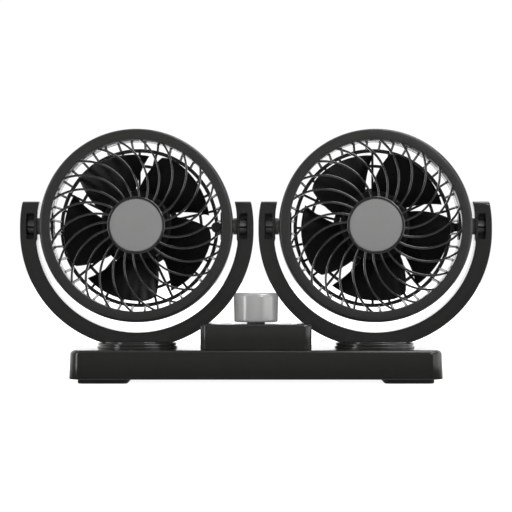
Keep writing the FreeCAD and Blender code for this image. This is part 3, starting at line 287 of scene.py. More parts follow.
BASE_TOP = cad_corners("base_shell")[1][2]
KNOB_PLACE = np.array(JOINTS["knob_turn"]["pos_m"]) * IN_PLAN
FOOT_BOTTOM = cad_corners("left_yoke")[0][2] - head_centre("left")[2]
LEAD_ENTRY = sum(cad_corners("lead_grommet")) / 2 * IN_FRONT_VIEW


# Surfaces: a shell is (points, faces), and a piece is made of shells

def grid_faces(rows, columns, wrap_rows=False, wrap_columns=False):
    """Quads of a grid of points: each joins a point to its neighbours along both parameters."""
    row, column = np.meshgrid(np.arange(rows - (not wrap_rows)), np.arange(columns - (not wrap_columns)),
                              indexing="ij")
    next_row, next_column = (row + 1) % rows, (column + 1) % columns
    corners = [row * columns + column, row * columns + next_column,
               next_row * columns + next_column, next_row * columns + column]
    return np.stack(corners, axis=-1).reshape(-1, 4).tolist()


def shell(points, wrap_rows=False, wrap_columns=True, caps=True):
    """Shell from a grid of points, with the first and last row closed by flat caps."""
    rows, columns = points.shape[:2]
    faces = grid_faces(rows, columns, wrap_rows, wrap_columns)
    if caps and not wrap_rows:
        faces.append(list(range(columns)))
        faces.append(list(range((rows - 1) * columns, rows * columns)))
    return points.reshape(-1, 3), faces


def rounded_outline(corners, radii, steps=6):
    """Closed outline with round corners: each arc starts and ends r / tan(half the corner's angle) from the
    corner along both sides, and lies on the circle that touches them."""
    corners = np.asarray(corners, float)
    radii = np.broadcast_to(np.asarray(radii, float), len(corners))[:, None]
    back = np.roll(corners, 1, axis=0) - corners
    ahead = np.roll(corners, -1, axis=0) - corners
    back /= np.linalg.norm(back, axis=1, keepdims=True)
    ahead /= np.linalg.norm(ahead, axis=1, keepdims=True)
    half = np.arccos(np.clip((back * ahead).sum(1, keepdims=True), -1, 1)) / 2
    middle = (back + ahead) / np.linalg.norm(back + ahead, axis=1, keepdims=True)
    centre = corners + middle * radii / np.sin(half)
    start = corners + back * radii / np.tan(half) - centre
    end = corners + ahead * radii / np.tan(half) - centre
    turn = (np.pi - 2 * half)[:, None]
    along = np.linspace(0, 1, steps)[None, :, None]
    arc = np.sin((1 - along) * turn) * start[:, None] + np.sin(along * turn) * end[:, None]
    return (centre[:, None] + arc / np.sin(turn)).reshape(-1, 2)


def rounded_rectangle(half_width, half_height, corner, steps=6):
    """Rounded rectangles about zero, one for each given size: quarter circles about four corner centres."""
    half_width, half_height, corner = (np.asarray(value, float)[..., None]
                                       for value in np.broadcast_arrays(half_width, half_height, corner))
    quarter = np.repeat(np.arange(4), steps)
    angle = np.tile(np.linspace(0, np.pi / 2, steps), 4) + quarter * np.pi / 2
    side = np.where((quarter == 0) | (quarter == 3), 1.0, -1.0)
    level = np.where(quarter < 2, 1.0, -1.0)
    across = side * (half_width - corner) + corner * np.cos(angle)
    up = level * (half_height - corner) + corner * np.sin(angle)
    return np.stack([across, up], axis=-1)


def revolved(outline, axis="y", steps=ROUND_STEPS, closed=True):
    """Ring: the outline's (radius, distance along the axis) carried round the axis in a circle.
    An outline that starts and ends on the axis isn't closed, and makes a disc."""
    outline = np.asarray(outline, float)
    turn = np.linspace(0, 2 * np.pi, steps, endpoint=False)[:, None]
    radius, along = outline[None, :, 0], outline[None, :, 1] + 0 * turn
    first, second = radius * np.sin(turn), radius * np.cos(turn)
    order = {"y": (first, along, second), "z": (first, second, along), "x": (along, first, second)}[axis]
    return shell(np.stack(order, axis=-1), wrap_rows=True, wrap_columns=closed)


def disc(corners, radii, axis="y", steps=ROUND_STEPS):
    """Disc, cup or knob: an outline from axis to axis with round corners, carried round the axis."""
    return revolved(rounded_outline(corners, radii), axis, steps, closed=False)


def ring(inner, outer, low, high, radii, axis="y", steps=ROUND_STEPS):
    """Flat ring: a rectangle of radii and heights with round corners, carried round the axis."""
    corners = [(inner, low), (outer, low), (outer, high), (inner, high)]
    return revolved(rounded_outline(corners, radii), axis, steps)


def turned(points, degrees):
    """Copies of the points turned about the fan axis, one for each angle."""
    angle = np.radians(np.atleast_1d(degrees)).reshape(-1, *[1] * (points.ndim - 1))
    x, y, z = points[..., 0], points[..., 1], points[..., 2]
    return np.stack([x * np.cos(angle) + z * np.sin(angle), y + 0 * angle,
                     z * np.cos(angle) - x * np.sin(angle)], axis=-1)


def around(one, count, first=0.0):
    """Shell copied at even angles about the fan axis."""
    points, faces = one
    angles = first + 360.0 * np.arange(count) / count
    return [(copy, faces) for copy in turned(points, angles)]


def moved(shells, offset):
    """Shells moved by an offset."""
    return [(points + np.asarray(offset, float), faces) for points, faces in shells]


def in_head(shells, side):
    """Shells made about a level fan axis, turned to the head's own axis, which looks up a little, and moved
    to the head."""
    turn = np.stack([ACROSS, fan_axis(side), np.cross(ACROSS, fan_axis(side))])
    return moved([(points @ turn, faces) for points, faces in shells], head_centre(side))


def on_both_sides(one):
    """Shell and its mirror image in the plane X = 0."""
    return [one, (one[0] * MIRROR, one[1])]


def bar(start, end, across, width, height, corner):
    """Straight bar: a rounded rectangle carried from start to end, its width along across."""
    start, end, across = (np.asarray(value, float) for value in (start, end, across))
    run = (end - start) / np.linalg.norm(end - start)
    across = across / np.linalg.norm(across)
    up = np.cross(run, across)
    section = rounded_rectangle(width / 2, height / 2, corner, steps=3)
    loop = section[:, :1] * across + section[:, 1:] * up
    return shell(np.stack([start + loop, end + loop]))


def drill(radius, low, high, axis, steps=HOLE_STEPS):
    """Plain cylinder along an axis, for cutting a hole."""
    return revolved([(0, low), (radius, low), (radius, high), (0, high)], axis, steps, closed=False)


def rounded_stack(half_width, half_depth, corner, inset, height, middle=(0.0, 0.0), steps=8):
    """Block: rounded rectangles drawn in by each inset at each height, the corners drawn in with them."""
    inset = np.asarray(inset, float)
    corner = np.maximum(corner - inset, LEAST)
    loops = rounded_rectangle(half_width - inset, half_depth - inset, corner, steps)
    level = np.broadcast_to(np.asarray(height, float)[:, None], loops.shape[:2])
    return shell(np.stack([loops[..., 0] + middle[0], loops[..., 1] + middle[1], level], axis=-1))


def quarter_round(radius, steps=8):
    """Inset and drop of a rounded edge: a quarter circle from the flat top out to the upright side."""
    angle = np.linspace(0, np.pi / 2, steps)
    return radius * (1 - np.sin(angle)), radius * (1 - np.cos(angle))


# Meshes and pieces

def shape_mesh(one):
    """Closed mesh of a shell: doubles merged, then the faces turned outwards."""
    mesh = bpy.data.meshes.new("shape")
    mesh.from_pydata(one[0].tolist(), [], one[1])
    work = bmesh.new()
    work.from_mesh(mesh)
    bmesh.ops.remove_doubles(work, verts=work.verts, dist=MERGE)
    bmesh.ops.recalc_face_normals(work, faces=work.faces)
    work.to_mesh(mesh)
    work.free()
    return mesh


def combined(mesh, shells, operation):
    """Mesh with all the shells welded to it or cut out of it."""
    scene = bpy.context.scene
    target = bpy.data.objects.new("target", mesh)
    tools = bpy.data.collections.new("tools")
    scene.collection.objects.link(target)
    scene.collection.children.link(tools)
    for one in shells:
        tools.objects.link(bpy.data.objects.new("tool", shape_mesh(one)))
    modifier = target.modifiers.new("combine", "BOOLEAN")
    modifier.operand_type = "COLLECTION"
    modifier.collection = tools
    modifier.operation = operation
    modifier.solver = "MANIFOLD"
    result = bpy.data.meshes.new_from_object(target.evaluated_get(bpy.context.evaluated_depsgraph_get()))
    for tool in [*tools.objects, target]:
        bpy.data.objects.remove(tool)
    bpy.data.collections.remove(tools)
    return result


def piece(name, shells, body, surface, replaced=(), holes=()):
    """Piece of the fan: its shells welded into one mesh, the holes cut, smooth up to the sharp angle."""
    mesh = shape_mesh(shells[0])
    if len(shells) > 1:
        mesh = combined(mesh, shells[1:], "UNION")
    if holes:
        mesh = combined(mesh, holes, "DIFFERENCE")
    mesh.name = name
    mesh.shade_smooth()
    mesh.set_sharp_from_angle(angle=math.radians(SHARP_ANGLE))
    mesh.materials.clear()
    mesh.materials.append(surface)
    made = bpy.data.objects.new(name, mesh)
    bpy.context.scene.collection.objects.link(made)
    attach(made, body)
    if replaced:
        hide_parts(*replaced)
    return made


# Finishes, all on Object coordinates

CLOUD_SCALE = 90.0
CLOUD_DETAIL = 3.0
SMEAR_SCALE = 160.0
GRAIN_SCALE = 1 / (0.3 * MM)
FINE_DETAIL = 2.0
NOISE_ROUGHNESS = 0.55
NOISE_LOW = 0.3
NOISE_HIGH = 0.7
OPAQUE = 1.0


def noise(nodes, links, scale, detail):
    """Noise in Object coordinates, in features of about 1 / scale metres."""
    place = nodes.new("ShaderNodeTexCoord")
    texture = nodes.new("ShaderNodeTexNoise")
    texture.inputs["Scale"].default_value = scale
    texture.inputs["Detail"].default_value = detail
    texture.inputs["Roughness"].default_value = NOISE_ROUGHNESS
    links.new(place.outputs["Object"], texture.inputs["Vector"])
    return texture.outputs["Fac"]


def between(nodes, links, value, low, high):
    """Value in the range of most noise, spread from low to high."""
    spread = nodes.new("ShaderNodeMapRange")
    spread.inputs["From Min"].default_value = NOISE_LOW
    spread.inputs["From Max"].default_value = NOISE_HIGH
    spread.inputs["To Min"].default_value = low
    spread.inputs["To Max"].default_value = high
    links.new(value, spread.inputs["Value"])
    return spread.outputs["Result"]


def shades(nodes, links, value, dark, light):
    """Colour between a dark and a light shade by a value in the range of most noise."""
    blend = nodes.new("ShaderNodeValToRGB")
    first, last = blend.color_ramp.elements
    first.position = NOISE_LOW
    first.color = (*dark, OPAQUE)
    last.position = NOISE_HIGH
    last.color = (*light, OPAQUE)
    links.new(value, blend.inputs["Fac"])
    return blend.outputs["Color"]


def finish(name, colour, roughness, mottle=0.12, smear=0.05, relief=0.004 * MM, metallic=0.0, specular=0.5):
    """Surface with clouds in its colour, smears in its gloss and a fine grain.
    The colour varies by the share mottle over a few millimetres, and the roughness by smear."""
    material = bpy.data.materials.new(name)
    material.use_nodes = True
    nodes, links = material.node_tree.nodes, material.node_tree.links
    shader = nodes["Principled BSDF"]
    shader.inputs["Metallic"].default_value = metallic
    shader.inputs["Specular IOR Level"].default_value = specular
    dark, light = (tuple(channel * (1 + way * mottle) for channel in colour) for way in (-1, 1))
    clouds = noise(nodes, links, CLOUD_SCALE, CLOUD_DETAIL)
    links.new(shades(nodes, links, clouds, dark, light), shader.inputs["Base Color"])
    smears = noise(nodes, links, SMEAR_SCALE, FINE_DETAIL)
    gloss = between(nodes, links, smears, roughness - smear, roughness + smear)
    links.new(gloss, shader.inputs["Roughness"])
    bump = nodes.new("ShaderNodeBump")
    bump.inputs["Strength"].default_value = 1.0
    bump.inputs["Distance"].default_value = relief
    links.new(noise(nodes, links, GRAIN_SCALE, FINE_DETAIL), bump.inputs["Height"])
    links.new(bump.outputs["Normal"], shader.inputs["Normal"])
    return material


SATIN_CHARCOAL = finish("satin_charcoal", (0.0297, 0.0297, 0.0281), 0.34, mottle=0.04, smear=0.03,
                        relief=0.002 * MM)
THROAT_CHARCOAL = finish("throat_charcoal", (0.030, 0.030, 0.0286), 0.19, smear=0.02, relief=0.0003 * MM)
POLISHED_CHARCOAL = finish("polished_charcoal", (0.026, 0.026, 0.0248), 0.15, smear=0.02,
                           relief=0.0003 * MM, specular=1.0)
YOKE_CHARCOAL = finish("yoke_charcoal", (0.0280, 0.0280, 0.0266), 0.2, mottle=0.04, smear=0.02,
                       relief=0.001 * MM)
BASE_BLACK = finish("base_black", (0.0235, 0.0235, 0.0208), 0.19, mottle=0.03, smear=0.02,
                    relief=0.002 * MM)
GLOSS_BLACK = finish("gloss_black", (0.0310, 0.0310, 0.0293), 0.17, mottle=0.03, smear=0.02,
                     relief=0.001 * MM)
GLOSS_BLADE = finish("gloss_blade", (0.007, 0.007, 0.0068), 0.3, smear=0.03, relief=0.001 * MM,
                     specular=0.2)
BADGE_PAINT = finish("badge_paint", (0.27, 0.27, 0.266), 0.5, mottle=0.02, relief=0.004 * MM)
KNOB_GREY = finish("knob_grey", (0.47, 0.47, 0.464), 0.22, mottle=0.02, smear=0.03, relief=0.001 * MM,
                   metallic=0.1, specular=0.8)
RUBBER = finish("soft_rubber", (0.012, 0.012, 0.012), 0.75, relief=0.02 * MM)
ZINC = finish("zinc_plated_steel", (0.55, 0.55, 0.53), 0.32, metallic=1.0)
BRONZE = finish("oiled_bronze", (0.45, 0.28, 0.12), 0.38, metallic=1.0)
COPPER = finish("enamelled_copper", (0.55, 0.22, 0.09), 0.30, metallic=1.0)
FERRITE = finish("pressed_ferrite", (0.035, 0.034, 0.034), 0.7, relief=0.02 * MM)
NYLON = finish("ivory_nylon", (0.62, 0.58, 0.48), 0.45)
BOARD_GREEN = finish("board_varnish", (0.02, 0.16, 0.06), 0.35)
CERAMIC = finish("fired_ceramic", (0.72, 0.70, 0.66), 0.8, relief=0.03 * MM)
DIAL_PRINT = finish("dial_print", (0.45, 0.45, 0.44), 0.75, mottle=0.03)
BLACK_ZINC = finish("black_zinc", (0.02, 0.02, 0.019), 0.35, relief=0.001 * MM, metallic=0.5)
# Tilt pins: the charcoal plastic painted lighter, a painted bounce of light from the table below onto the
# pins in the arm windows
PIN_PAINTED_LIGHT = finish("pin_charcoal", (0.09, 0.09, 0.085), 0.4, mottle=0.04, relief=0.002 * MM)

SLOT_FINISH = {
    "charcoal_plastic": SATIN_CHARCOAL, "gloss_black_plastic": GLOSS_BLACK, "blade_plastic": GLOSS_BLADE,
    "badge_grey": BADGE_PAINT, "knob_grey": KNOB_GREY, "zinc_steel": ZINC, "magnet_ferrite": FERRITE,
    "bush_bronze": BRONZE, "winding_copper": COPPER, "endcap_plastic": NYLON, "pad_rubber": RUBBER,
    "board_green": BOARD_GREEN, "resistor_ceramic": CERAMIC}
# The tilt pins take the lighter painted charcoal, painted light that stands in for the table's bounce in
# the arm windows
NODE_FINISH = {side + place + "_trunnion": PIN_PAINTED_LIGHT for side in SIDES for place in ("_outer", "_inner")}
NODE_FINISH["switch_nut"] = BLACK_ZINC


# Front grille

def dome_y(radius):
    """Depth of the spokes' front at a radius: a cap of a sphere that rises ahead of the opening."""
    sphere = (BEZEL_OPENING ** 2 + DOME_RISE ** 2) / (2 * DOME_RISE)
    return DOME_EDGE - DOME_RISE + sphere - np.sqrt(sphere ** 2 - radius ** 2)


HUB_FRONT = dome_y(HUB_RIM_RADIUS) - HUB_PROUD
BADGE_SEAT = HUB_FRONT + BADGE_THICKNESS


def bezel_ring():
    """Bezel: a U of two walls and a front, its front edges well rounded, carried round the fan axis."""
    wall, sleeve = BEZEL_RADIUS - BEZEL_WALL, BEZEL_OPENING + BEZEL_INNER_WALL
    hollow, sleeve_back = BEZEL_FRONT + BEZEL_WALL, FLANGE_FRONT - SLEEVE_GAP
    corners = [(BEZEL_OPENING, BEZEL_FRONT), (BEZEL_RADIUS, BEZEL_FRONT), (BEZEL_RADIUS, BEZEL_BACK),
               (wall, BEZEL_BACK), (wall, hollow), (sleeve, hollow), (sleeve, sleeve_back),
               (BEZEL_OPENING, sleeve_back)]
    return revolved(rounded_outline(corners, BEZEL_ROUNDS), steps=BEZEL_STEPS)


def hub_cup():
    """Hub of the grille: a shallow cup with a rounded rim round the badge's seat."""
    seat_radius = BADGE_RADIUS + SEAT_GAP
    back = HUB_FRONT + HUB_DEPTH
    corners = [(0, BADGE_SEAT), (seat_radius, BADGE_SEAT), (seat_radius, HUB_FRONT),
               (HUB_RIM_RADIUS, HUB_FRONT), (HUB_RIM_RADIUS, back), (0, back)]
    return disc(corners, HUB_ROUNDS, steps=HUB_STEPS)


def swept_spoke(along_steps=30):
    """Spoke: a section with two front bevels carried along an arc that bulges clockwise, from the hub to
    the bezel. Across the arc a point lies further from the arc's centre, and its depth is the dome's at its
    radius."""
    sweep = math.radians(SPOKE_SWEEP)
    hub_end = np.array([0.0, HUB_RIM_RADIUS])
    rim_end = BEZEL_OPENING * np.array([-math.sin(sweep), math.cos(sweep)])
    chord = rim_end - hub_end
    length = np.linalg.norm(chord)
    sagitta = SPOKE_BULGE * length
    arc = (length ** 2 / 4 + sagitta ** 2) / (2 * sagitta)
    inward = np.array([-chord[1], chord[0]]) / length
    centre = (hub_end + rim_end) / 2 + inward * (arc - sagitta)
    start = math.atan2(*(hub_end - centre)) + SPOKE_ROOT / arc
    end = math.atan2(*(rim_end - centre)) - SPOKE_ROOT / arc
    angle = np.linspace(start, end, along_steps)[:, None]
    half, deep = SPOKE_WIDTH / 2, SPOKE_DEPTH / 2
    corners = [(half, deep), (-half, deep), (-half, SPOKE_BEVEL_DEPTH - deep), (SPOKE_BEVEL - half, -deep),
               (half - SPOKE_BEVEL, -deep), (half, SPOKE_BEVEL_DEPTH - deep)]
    section = rounded_outline(corners, SPOKE_EDGE, steps=3)
    x = centre[0] + (arc + section[:, 0]) * np.sin(angle)
    z = centre[1] + (arc + section[:, 0]) * np.cos(angle)
    y = dome_y(np.hypot(x, z)) + deep + section[:, 1]
    return shell(np.stack([x, y, z], axis=-1))


def polish_inside(mesh, side):
    """Smoother finishes inside the bezel's front ring: its inner wall, and the spokes and the hub, told
    apart by their distance from the fan axis."""
    mesh.materials.append(THROAT_CHARCOAL)
    mesh.materials.append(POLISHED_CHARCOAL)
    middles = np.empty(3 * len(mesh.polygons))
    mesh.polygons.foreach_get("center", middles)
    out = middles.reshape(-1, 3) - head_centre(side)
    axis = fan_axis(side)
    along = out @ axis
    radius = np.linalg.norm(out - along[:, None] * axis, axis=1)
    wall = (np.abs(radius - BEZEL_OPENING) < THROAT_BAND) & (along > BEZEL_FRONT + BEZEL_INNER_WALL)
    inside = radius < BEZEL_OPENING - THROAT_BAND
    mesh.polygons.foreach_set("material_index", (wall + 2 * inside).astype(np.int32))


def front_grille(side):
    """Bezel, hub and spokes as one moulding, with the bosses for the screws and flat seats for the tilt
    pins."""
    boss = drill(SCREW_BOSS_RADIUS, BEZEL_FRONT + BEZEL_WALL / 2, FLANGE_FRONT, "y", SCREW_STEPS)
    boss = moved([boss], (0, 0, SCREW_CIRCLE))[0]
    pin_hole = drill(PIN_SHANK_RADIUS, BEZEL_RADIUS - BEZEL_WALL - OVERCUT, BEZEL_RADIUS + OVERCUT, "x")
    sleeve = BEZEL_OPENING + BEZEL_INNER_WALL
    seat_middle = (PIN_SEAT + sleeve) / 2
    seat = bar((seat_middle, -PIN_SEAT_DEPTH / 2, 0), (seat_middle, PIN_SEAT_DEPTH / 2, 0), ACROSS,
               sleeve - PIN_SEAT, PIN_SEAT_HEIGHT, RIB_EDGE)
    shells = [bezel_ring(), hub_cup(), *around(swept_spoke(), SPOKE_COUNT, SPOKE_FIRST),
              *around(boss, SCREW_COUNT, SCREW_FIRST), *on_both_sides(seat)]
    made = piece(side + "_front_grille_shell", in_head(shells, side), side + "_head",
                 SATIN_CHARCOAL, [side + "_front_grille"], in_head(on_both_sides(pin_hole), side))
    polish_inside(made.data, side)
    return made


def hub_badge(side, crown_steps=12, lip_steps=5):
    """Plain disc in the hub: a slightly crowned face, which drops by the square of the radius, with a fine
    rounded edge."""
    edge = BADGE_SEAT - BADGE_THICKNESS + BADGE_CROWN / 2
    radius = np.linspace(0, BADGE_RADIUS - BADGE_EDGE, crown_steps)
    crown = np.stack([radius, edge - BADGE_CROWN * (1 - (radius / BADGE_RADIUS) ** 2)], axis=-1)
    turn = np.linspace(0, np.pi / 2, lip_steps)[1:, None]
    lip = np.concatenate([BADGE_RADIUS - BADGE_EDGE + BADGE_EDGE * np.sin(turn),
                          edge + BADGE_EDGE * (1 - np.cos(turn))], axis=1)
    back = np.array([[BADGE_RADIUS, BADGE_SEAT], [0, BADGE_SEAT]])
    face = revolved(np.concatenate([crown, lip, back]), steps=HUB_STEPS, closed=False)
    return piece(side + "_badge_disc", in_head([face], side), side + "_head", BADGE_PAINT,
                 [side + "_hub_badge"])


# Rear grille

def motor_cup():
    """Cup round the motor: a tube closed behind, with a rounded back edge."""
    inner, floor = CUP_RADIUS - CUP_WALL, CUP_BACK - CUP_WALL
    corners = [(0, floor), (inner, floor), (inner, CUP_FRONT), (CUP_RADIUS, CUP_FRONT),
               (CUP_RADIUS, CUP_BACK), (0, CUP_BACK)]
    return disc(corners, CUP_ROUNDS, steps=HUB_STEPS)


def rear_grille(side):
    """Basket: flange, slanting side ribs, two rings, straight spokes, motor cup in its plate, and the boss
    and duct for the lead."""
    ring_front = REAR_RING_BACK - REAR_RING_DEPTH
    ring_middle = (ring_front + REAR_RING_BACK) / 2
    ring_inner = REAR_RING_RADIUS - REAR_RING_WIDTH
    rib_start = (0, (FLANGE_FRONT + FLANGE_BACK) / 2, FLANGE_INNER + SIDE_RIB_THICKNESS / 2)
    rib_end = (0, ring_middle, REAR_RING_RADIUS - SIDE_RIB_THICKNESS / 2)
    rib, duct = (bar(rib_start, rib_end, ACROSS, width, SIDE_RIB_THICKNESS, RIB_EDGE)
                 for width in (SIDE_RIB_WIDTH, LEAD_DUCT_WIDTH))
    spoke_start = (0, ring_middle, MOTOR_PLATE_RADIUS - CUP_WALL / 2)
    spoke_end = (0, ring_middle, REAR_RING_RADIUS - REAR_RING_WIDTH / 2)
    spoke = bar(spoke_start, spoke_end, ACROSS, REAR_SPOKE_WIDTH, REAR_RING_DEPTH, RIB_EDGE)
    boss_middle = (REAR_RING_RADIUS - REAR_RING_WIDTH / 2, 0, 0)
    boss_front = REAR_RING_BACK - LEAD_BOSS_LENGTH
    boss = disc([(0, boss_front), (LEAD_BOSS_RADIUS, boss_front), (LEAD_BOSS_RADIUS, REAR_RING_BACK),
                 (0, REAR_RING_BACK)], LEAD_BOSS_ROUNDS, steps=BOSS_STEPS)
    plate = ring(CUP_RADIUS - CUP_WALL / 2, MOTOR_PLATE_RADIUS, ring_front, REAR_RING_BACK, RING_EDGE)
    flange = ring(FLANGE_INNER, FLANGE_OUTER, FLANGE_FRONT, FLANGE_BACK, FLANGE_EDGE, steps=WIDE_STEPS)
    rear_ring = ring(ring_inner, REAR_RING_RADIUS, ring_front, REAR_RING_BACK, RING_EDGE)
    mid_ring = ring(MID_RING_RADIUS - MID_RING_WIDTH, MID_RING_RADIUS, ring_front, REAR_RING_BACK,
                    RING_EDGE)
    shells = [motor_cup(), plate, flange, rear_ring, mid_ring,
              *around(rib, SIDE_RIB_COUNT, SIDE_RIB_FIRST), *around(spoke, REAR_SPOKE_COUNT),
              *around(duct, 1, LEAD_DUCT_TURN), *moved([boss], boss_middle)]
    vent, motor_hole = (drill(radius, CUP_BACK - CUP_WALL - OVERCUT, CUP_BACK + OVERCUT, "y", SCREW_STEPS)
                        for radius in (VENT_RADIUS, MOTOR_SCREW_HOLE))
    lead_bore = drill(LEAD_BOSS_BORE, boss_front + LEAD_BOSS_FLOOR, REAR_RING_BACK + OVERCUT, "y",
                      SCREW_STEPS)
    screw_hole = drill(SCREW_HOLE_RADIUS, FLANGE_FRONT - OVERCUT, FLANGE_BACK + OVERCUT, "y", SCREW_STEPS)
    holes = [*around(moved([vent], (0, 0, VENT_CIRCLE))[0], VENT_COUNT),
             *on_both_sides(moved([motor_hole], (MOTOR_SCREW_CIRCLE, 0, 0))[0]),
             *moved([lead_bore], boss_middle),
             *around(moved([screw_hole], (0, 0, SCREW_CIRCLE))[0], SCREW_COUNT, SCREW_FIRST)]
    return piece(side + "_rear_basket", in_head(shells, side), side + "_head",
                 POLISHED_CHARCOAL, [side + "_rear_grille"], in_head(holes, side))


# Impeller

def blade(across_steps=40, radial_steps=22):
    """Blade: its section is a flat oval round the chord, and each point turns with its radius.
    Along the chord the depth grows from front to back with a parabolic camber, and the tip is drawn in by a
    square law near the rounded corner. The oval thins to nothing along a quarter circle at the tip."""
    root = IMPELLER_HUB_RADIUS - IMPELLER_HUB_WALL / 2
    turn = np.linspace(0, 2 * np.pi, across_steps, endpoint=False)[None, :]
    across = (1 - np.cos(turn)) / 2
    reach = np.sin(np.linspace(0, np.pi / 2, radial_steps))[:, None]
    rounding = np.maximum(0, 1 - across / BLADE_ROUND_SHARE) ** 2
    tip = BLADE_TIP_RADIUS - BLADE_TIP_ROUND * rounding - BLADE_TIP_DROP * across
    radius = root + (tip - root) * reach
    share = (radius - root) / (BLADE_TIP_RADIUS - root)
    span = BLADE_ROOT_SPAN + (BLADE_TIP_SPAN - BLADE_ROOT_SPAN) * share
    angle = np.radians(BLADE_SWEEP * (share - 1) - span * (1 - across))
    depth = BLADE_FRONT + (BLADE_BACK - BLADE_FRONT) * across + 4 * BLADE_CAMBER * across * (1 - across)
    thin = np.sqrt(np.maximum(0, 1 - np.maximum(0, (reach - BLADE_THIN_FROM) / (1 - BLADE_THIN_FROM)) ** 2))
    oval = np.sign(np.sin(turn)) * np.abs(np.sin(turn)) ** BLADE_FULLNESS
    y = depth + BLADE_THICKNESS / 2 * (1 + oval * thin)
    return shell(np.stack([radius * np.sin(angle), y, radius * np.cos(angle)], axis=-1))


def impeller(side):
    """Hub cup with its shaft boss, and five blades welded to it."""
    front = HUB_FRONT + HUB_DEPTH + IMPELLER_HUB_GAP
    back = BLADE_BACK + BLADE_THICKNESS
    floor, inner = front + IMPELLER_HUB_WALL, IMPELLER_HUB_RADIUS - IMPELLER_HUB_WALL
    boss_back = floor + IMPELLER_BOSS_LENGTH
    corners = [(0, front), (IMPELLER_HUB_RADIUS, front), (IMPELLER_HUB_RADIUS, back), (inner, back),
               (inner, floor), (IMPELLER_BOSS_RADIUS, floor), (IMPELLER_BOSS_RADIUS, boss_back),
               (0, boss_back)]
    hub = disc(corners, IMPELLER_ROUNDS, steps=HUB_STEPS)
    bore = drill(SHAFT_BORE, floor, boss_back + OVERCUT, "y", SCREW_STEPS)
    shells = [hub, *around(blade(), BLADE_COUNT, BLADE_PHASE[side])]
    return piece(side + "_impeller_wheel", in_head(shells, side), side + "_rotor",
                 GLOSS_BLADE, [side + "_impeller"], in_head([bore], side))


# Yoke and turntable

def yoke_band(arm_steps=24, arc_steps=121):
    """Fork: a rounded rectangle between an inner and an outer line, carried down one arm, round and up the
    other. The arms' inner line is the upright pad face and then a circle, and the outer one a circle. Both
    lean in by a square law, the outer one above the pivot and the inner one above the pad. Near each arm's
    top the section's depth is drawn in along a quarter circle and its width by a share of that, and below
    the foot's level every point is lifted to it."""
    inset, drop = quarter_round(YOKE_TOP_ROUND, steps=7)
    shaft = np.linspace(YOKE_ARM_TOP - YOKE_TOP_ROUND, -YOKE_DROP, arm_steps)[1:]
    height = np.concatenate([YOKE_ARM_TOP - drop, shaft])
    lean = (np.maximum(0, height) / YOKE_ARM_TOP) ** 2
    pad_lean = (np.maximum(0, height - PAD_TOP) / (YOKE_ARM_TOP - PAD_TOP)) ** 2
    arm_inset = np.concatenate([inset, np.zeros(arm_steps - 1)])
    turn = np.linspace(0, np.pi, arc_steps)[1:-1]
    below = np.minimum(turn, np.pi - turn)
    pad_end = math.atan2(PAD_BOTTOM - YOKE_DROP, PAD_FACE)
    step = np.clip((below - pad_end) * YOKE_INNER / PAD_CHAMFER, 0, 1)
    pad = PAD_FACE / np.cos(np.minimum(below, pad_end))
    inner = np.where(step < 1, pad * (1 - step) + YOKE_INNER * step, YOKE_INNER)
    arm = np.stack([PAD_FACE - PAD_LEAN * pad_lean, YOKE_OUTER - YOKE_LEAN * lean], axis=-1)
    arc = np.stack([inner, 0 * turn + YOKE_OUTER], axis=-1)
    lines_x = np.concatenate([-arm, -np.cos(turn)[:, None] * arc, arm[::-1]])
    arm_z = np.stack([height, height], axis=-1)
    arc_z = -YOKE_DROP - np.sin(turn)[:, None] * arc
    lines_z = np.concatenate([arm_z, arc_z, arm_z[::-1]])
    inset = np.concatenate([arm_inset, 0 * turn, arm_inset[::-1]])
    width = np.hypot(lines_x[:, 1] - lines_x[:, 0], lines_z[:, 1] - lines_z[:, 0])
    half_width = width / 2 - YOKE_TOP_SHARE * inset
    section = rounded_rectangle(half_width, YOKE_HALF_DEPTH - inset, YOKE_EDGE, steps=5)
    share = section[..., 0] / width[:, None] + 1 / 2
    x = lines_x[:, :1] + (lines_x[:, 1:] - lines_x[:, :1]) * share
    z = lines_z[:, :1] + (lines_z[:, 1:] - lines_z[:, :1]) * share
    return shell(np.stack([x, section[..., 1], np.maximum(z, FOOT_BOTTOM)], axis=-1))


def arm_window():
    """Cutter for the open window in the front of an arm: a rounded rectangle carried straight back."""
    loop = rounded_rectangle((WINDOW_OUTER - WINDOW_INNER) / 2, WINDOW_HALF_HEIGHT, WINDOW_CORNER, steps=4)
    depth = np.array([-YOKE_HALF_DEPTH - OVERCUT, YOKE_HALF_DEPTH - WINDOW_BACK_WALL])[:, None]
    x = np.broadcast_to(loop[:, 0] + (WINDOW_OUTER + WINDOW_INNER) / 2, (2, len(loop)))
    return shell(np.stack([x, depth + 0 * x, np.broadcast_to(loop[:, 1], x.shape)], axis=-1))


def yoke(side):
    """Fork with its round foot, the windows in its arms and the holes that the tilt pins turn in."""
    foot_top = FOOT_BOTTOM + FOOT_FLARE
    foot = disc([(0, FOOT_BOTTOM), (FOOT_RADIUS, FOOT_BOTTOM), (FOOT_RADIUS, foot_top), (0, foot_top)],
                FOOT_ROUNDS, "z", HUB_STEPS)
    pin_hole = drill(PIN_HOLE_RADIUS, PAD_FACE - OVERCUT, WINDOW_INNER + OVERCUT, "x")
    holes = [*on_both_sides(arm_window()), *on_both_sides(pin_hole)]
    centre = head_centre(side)
    return piece(side + "_yoke_fork", moved([yoke_band(), foot], centre), side + "_yoke",
                 YOKE_CHARCOAL, [side + "_yoke"], moved(holes, centre))


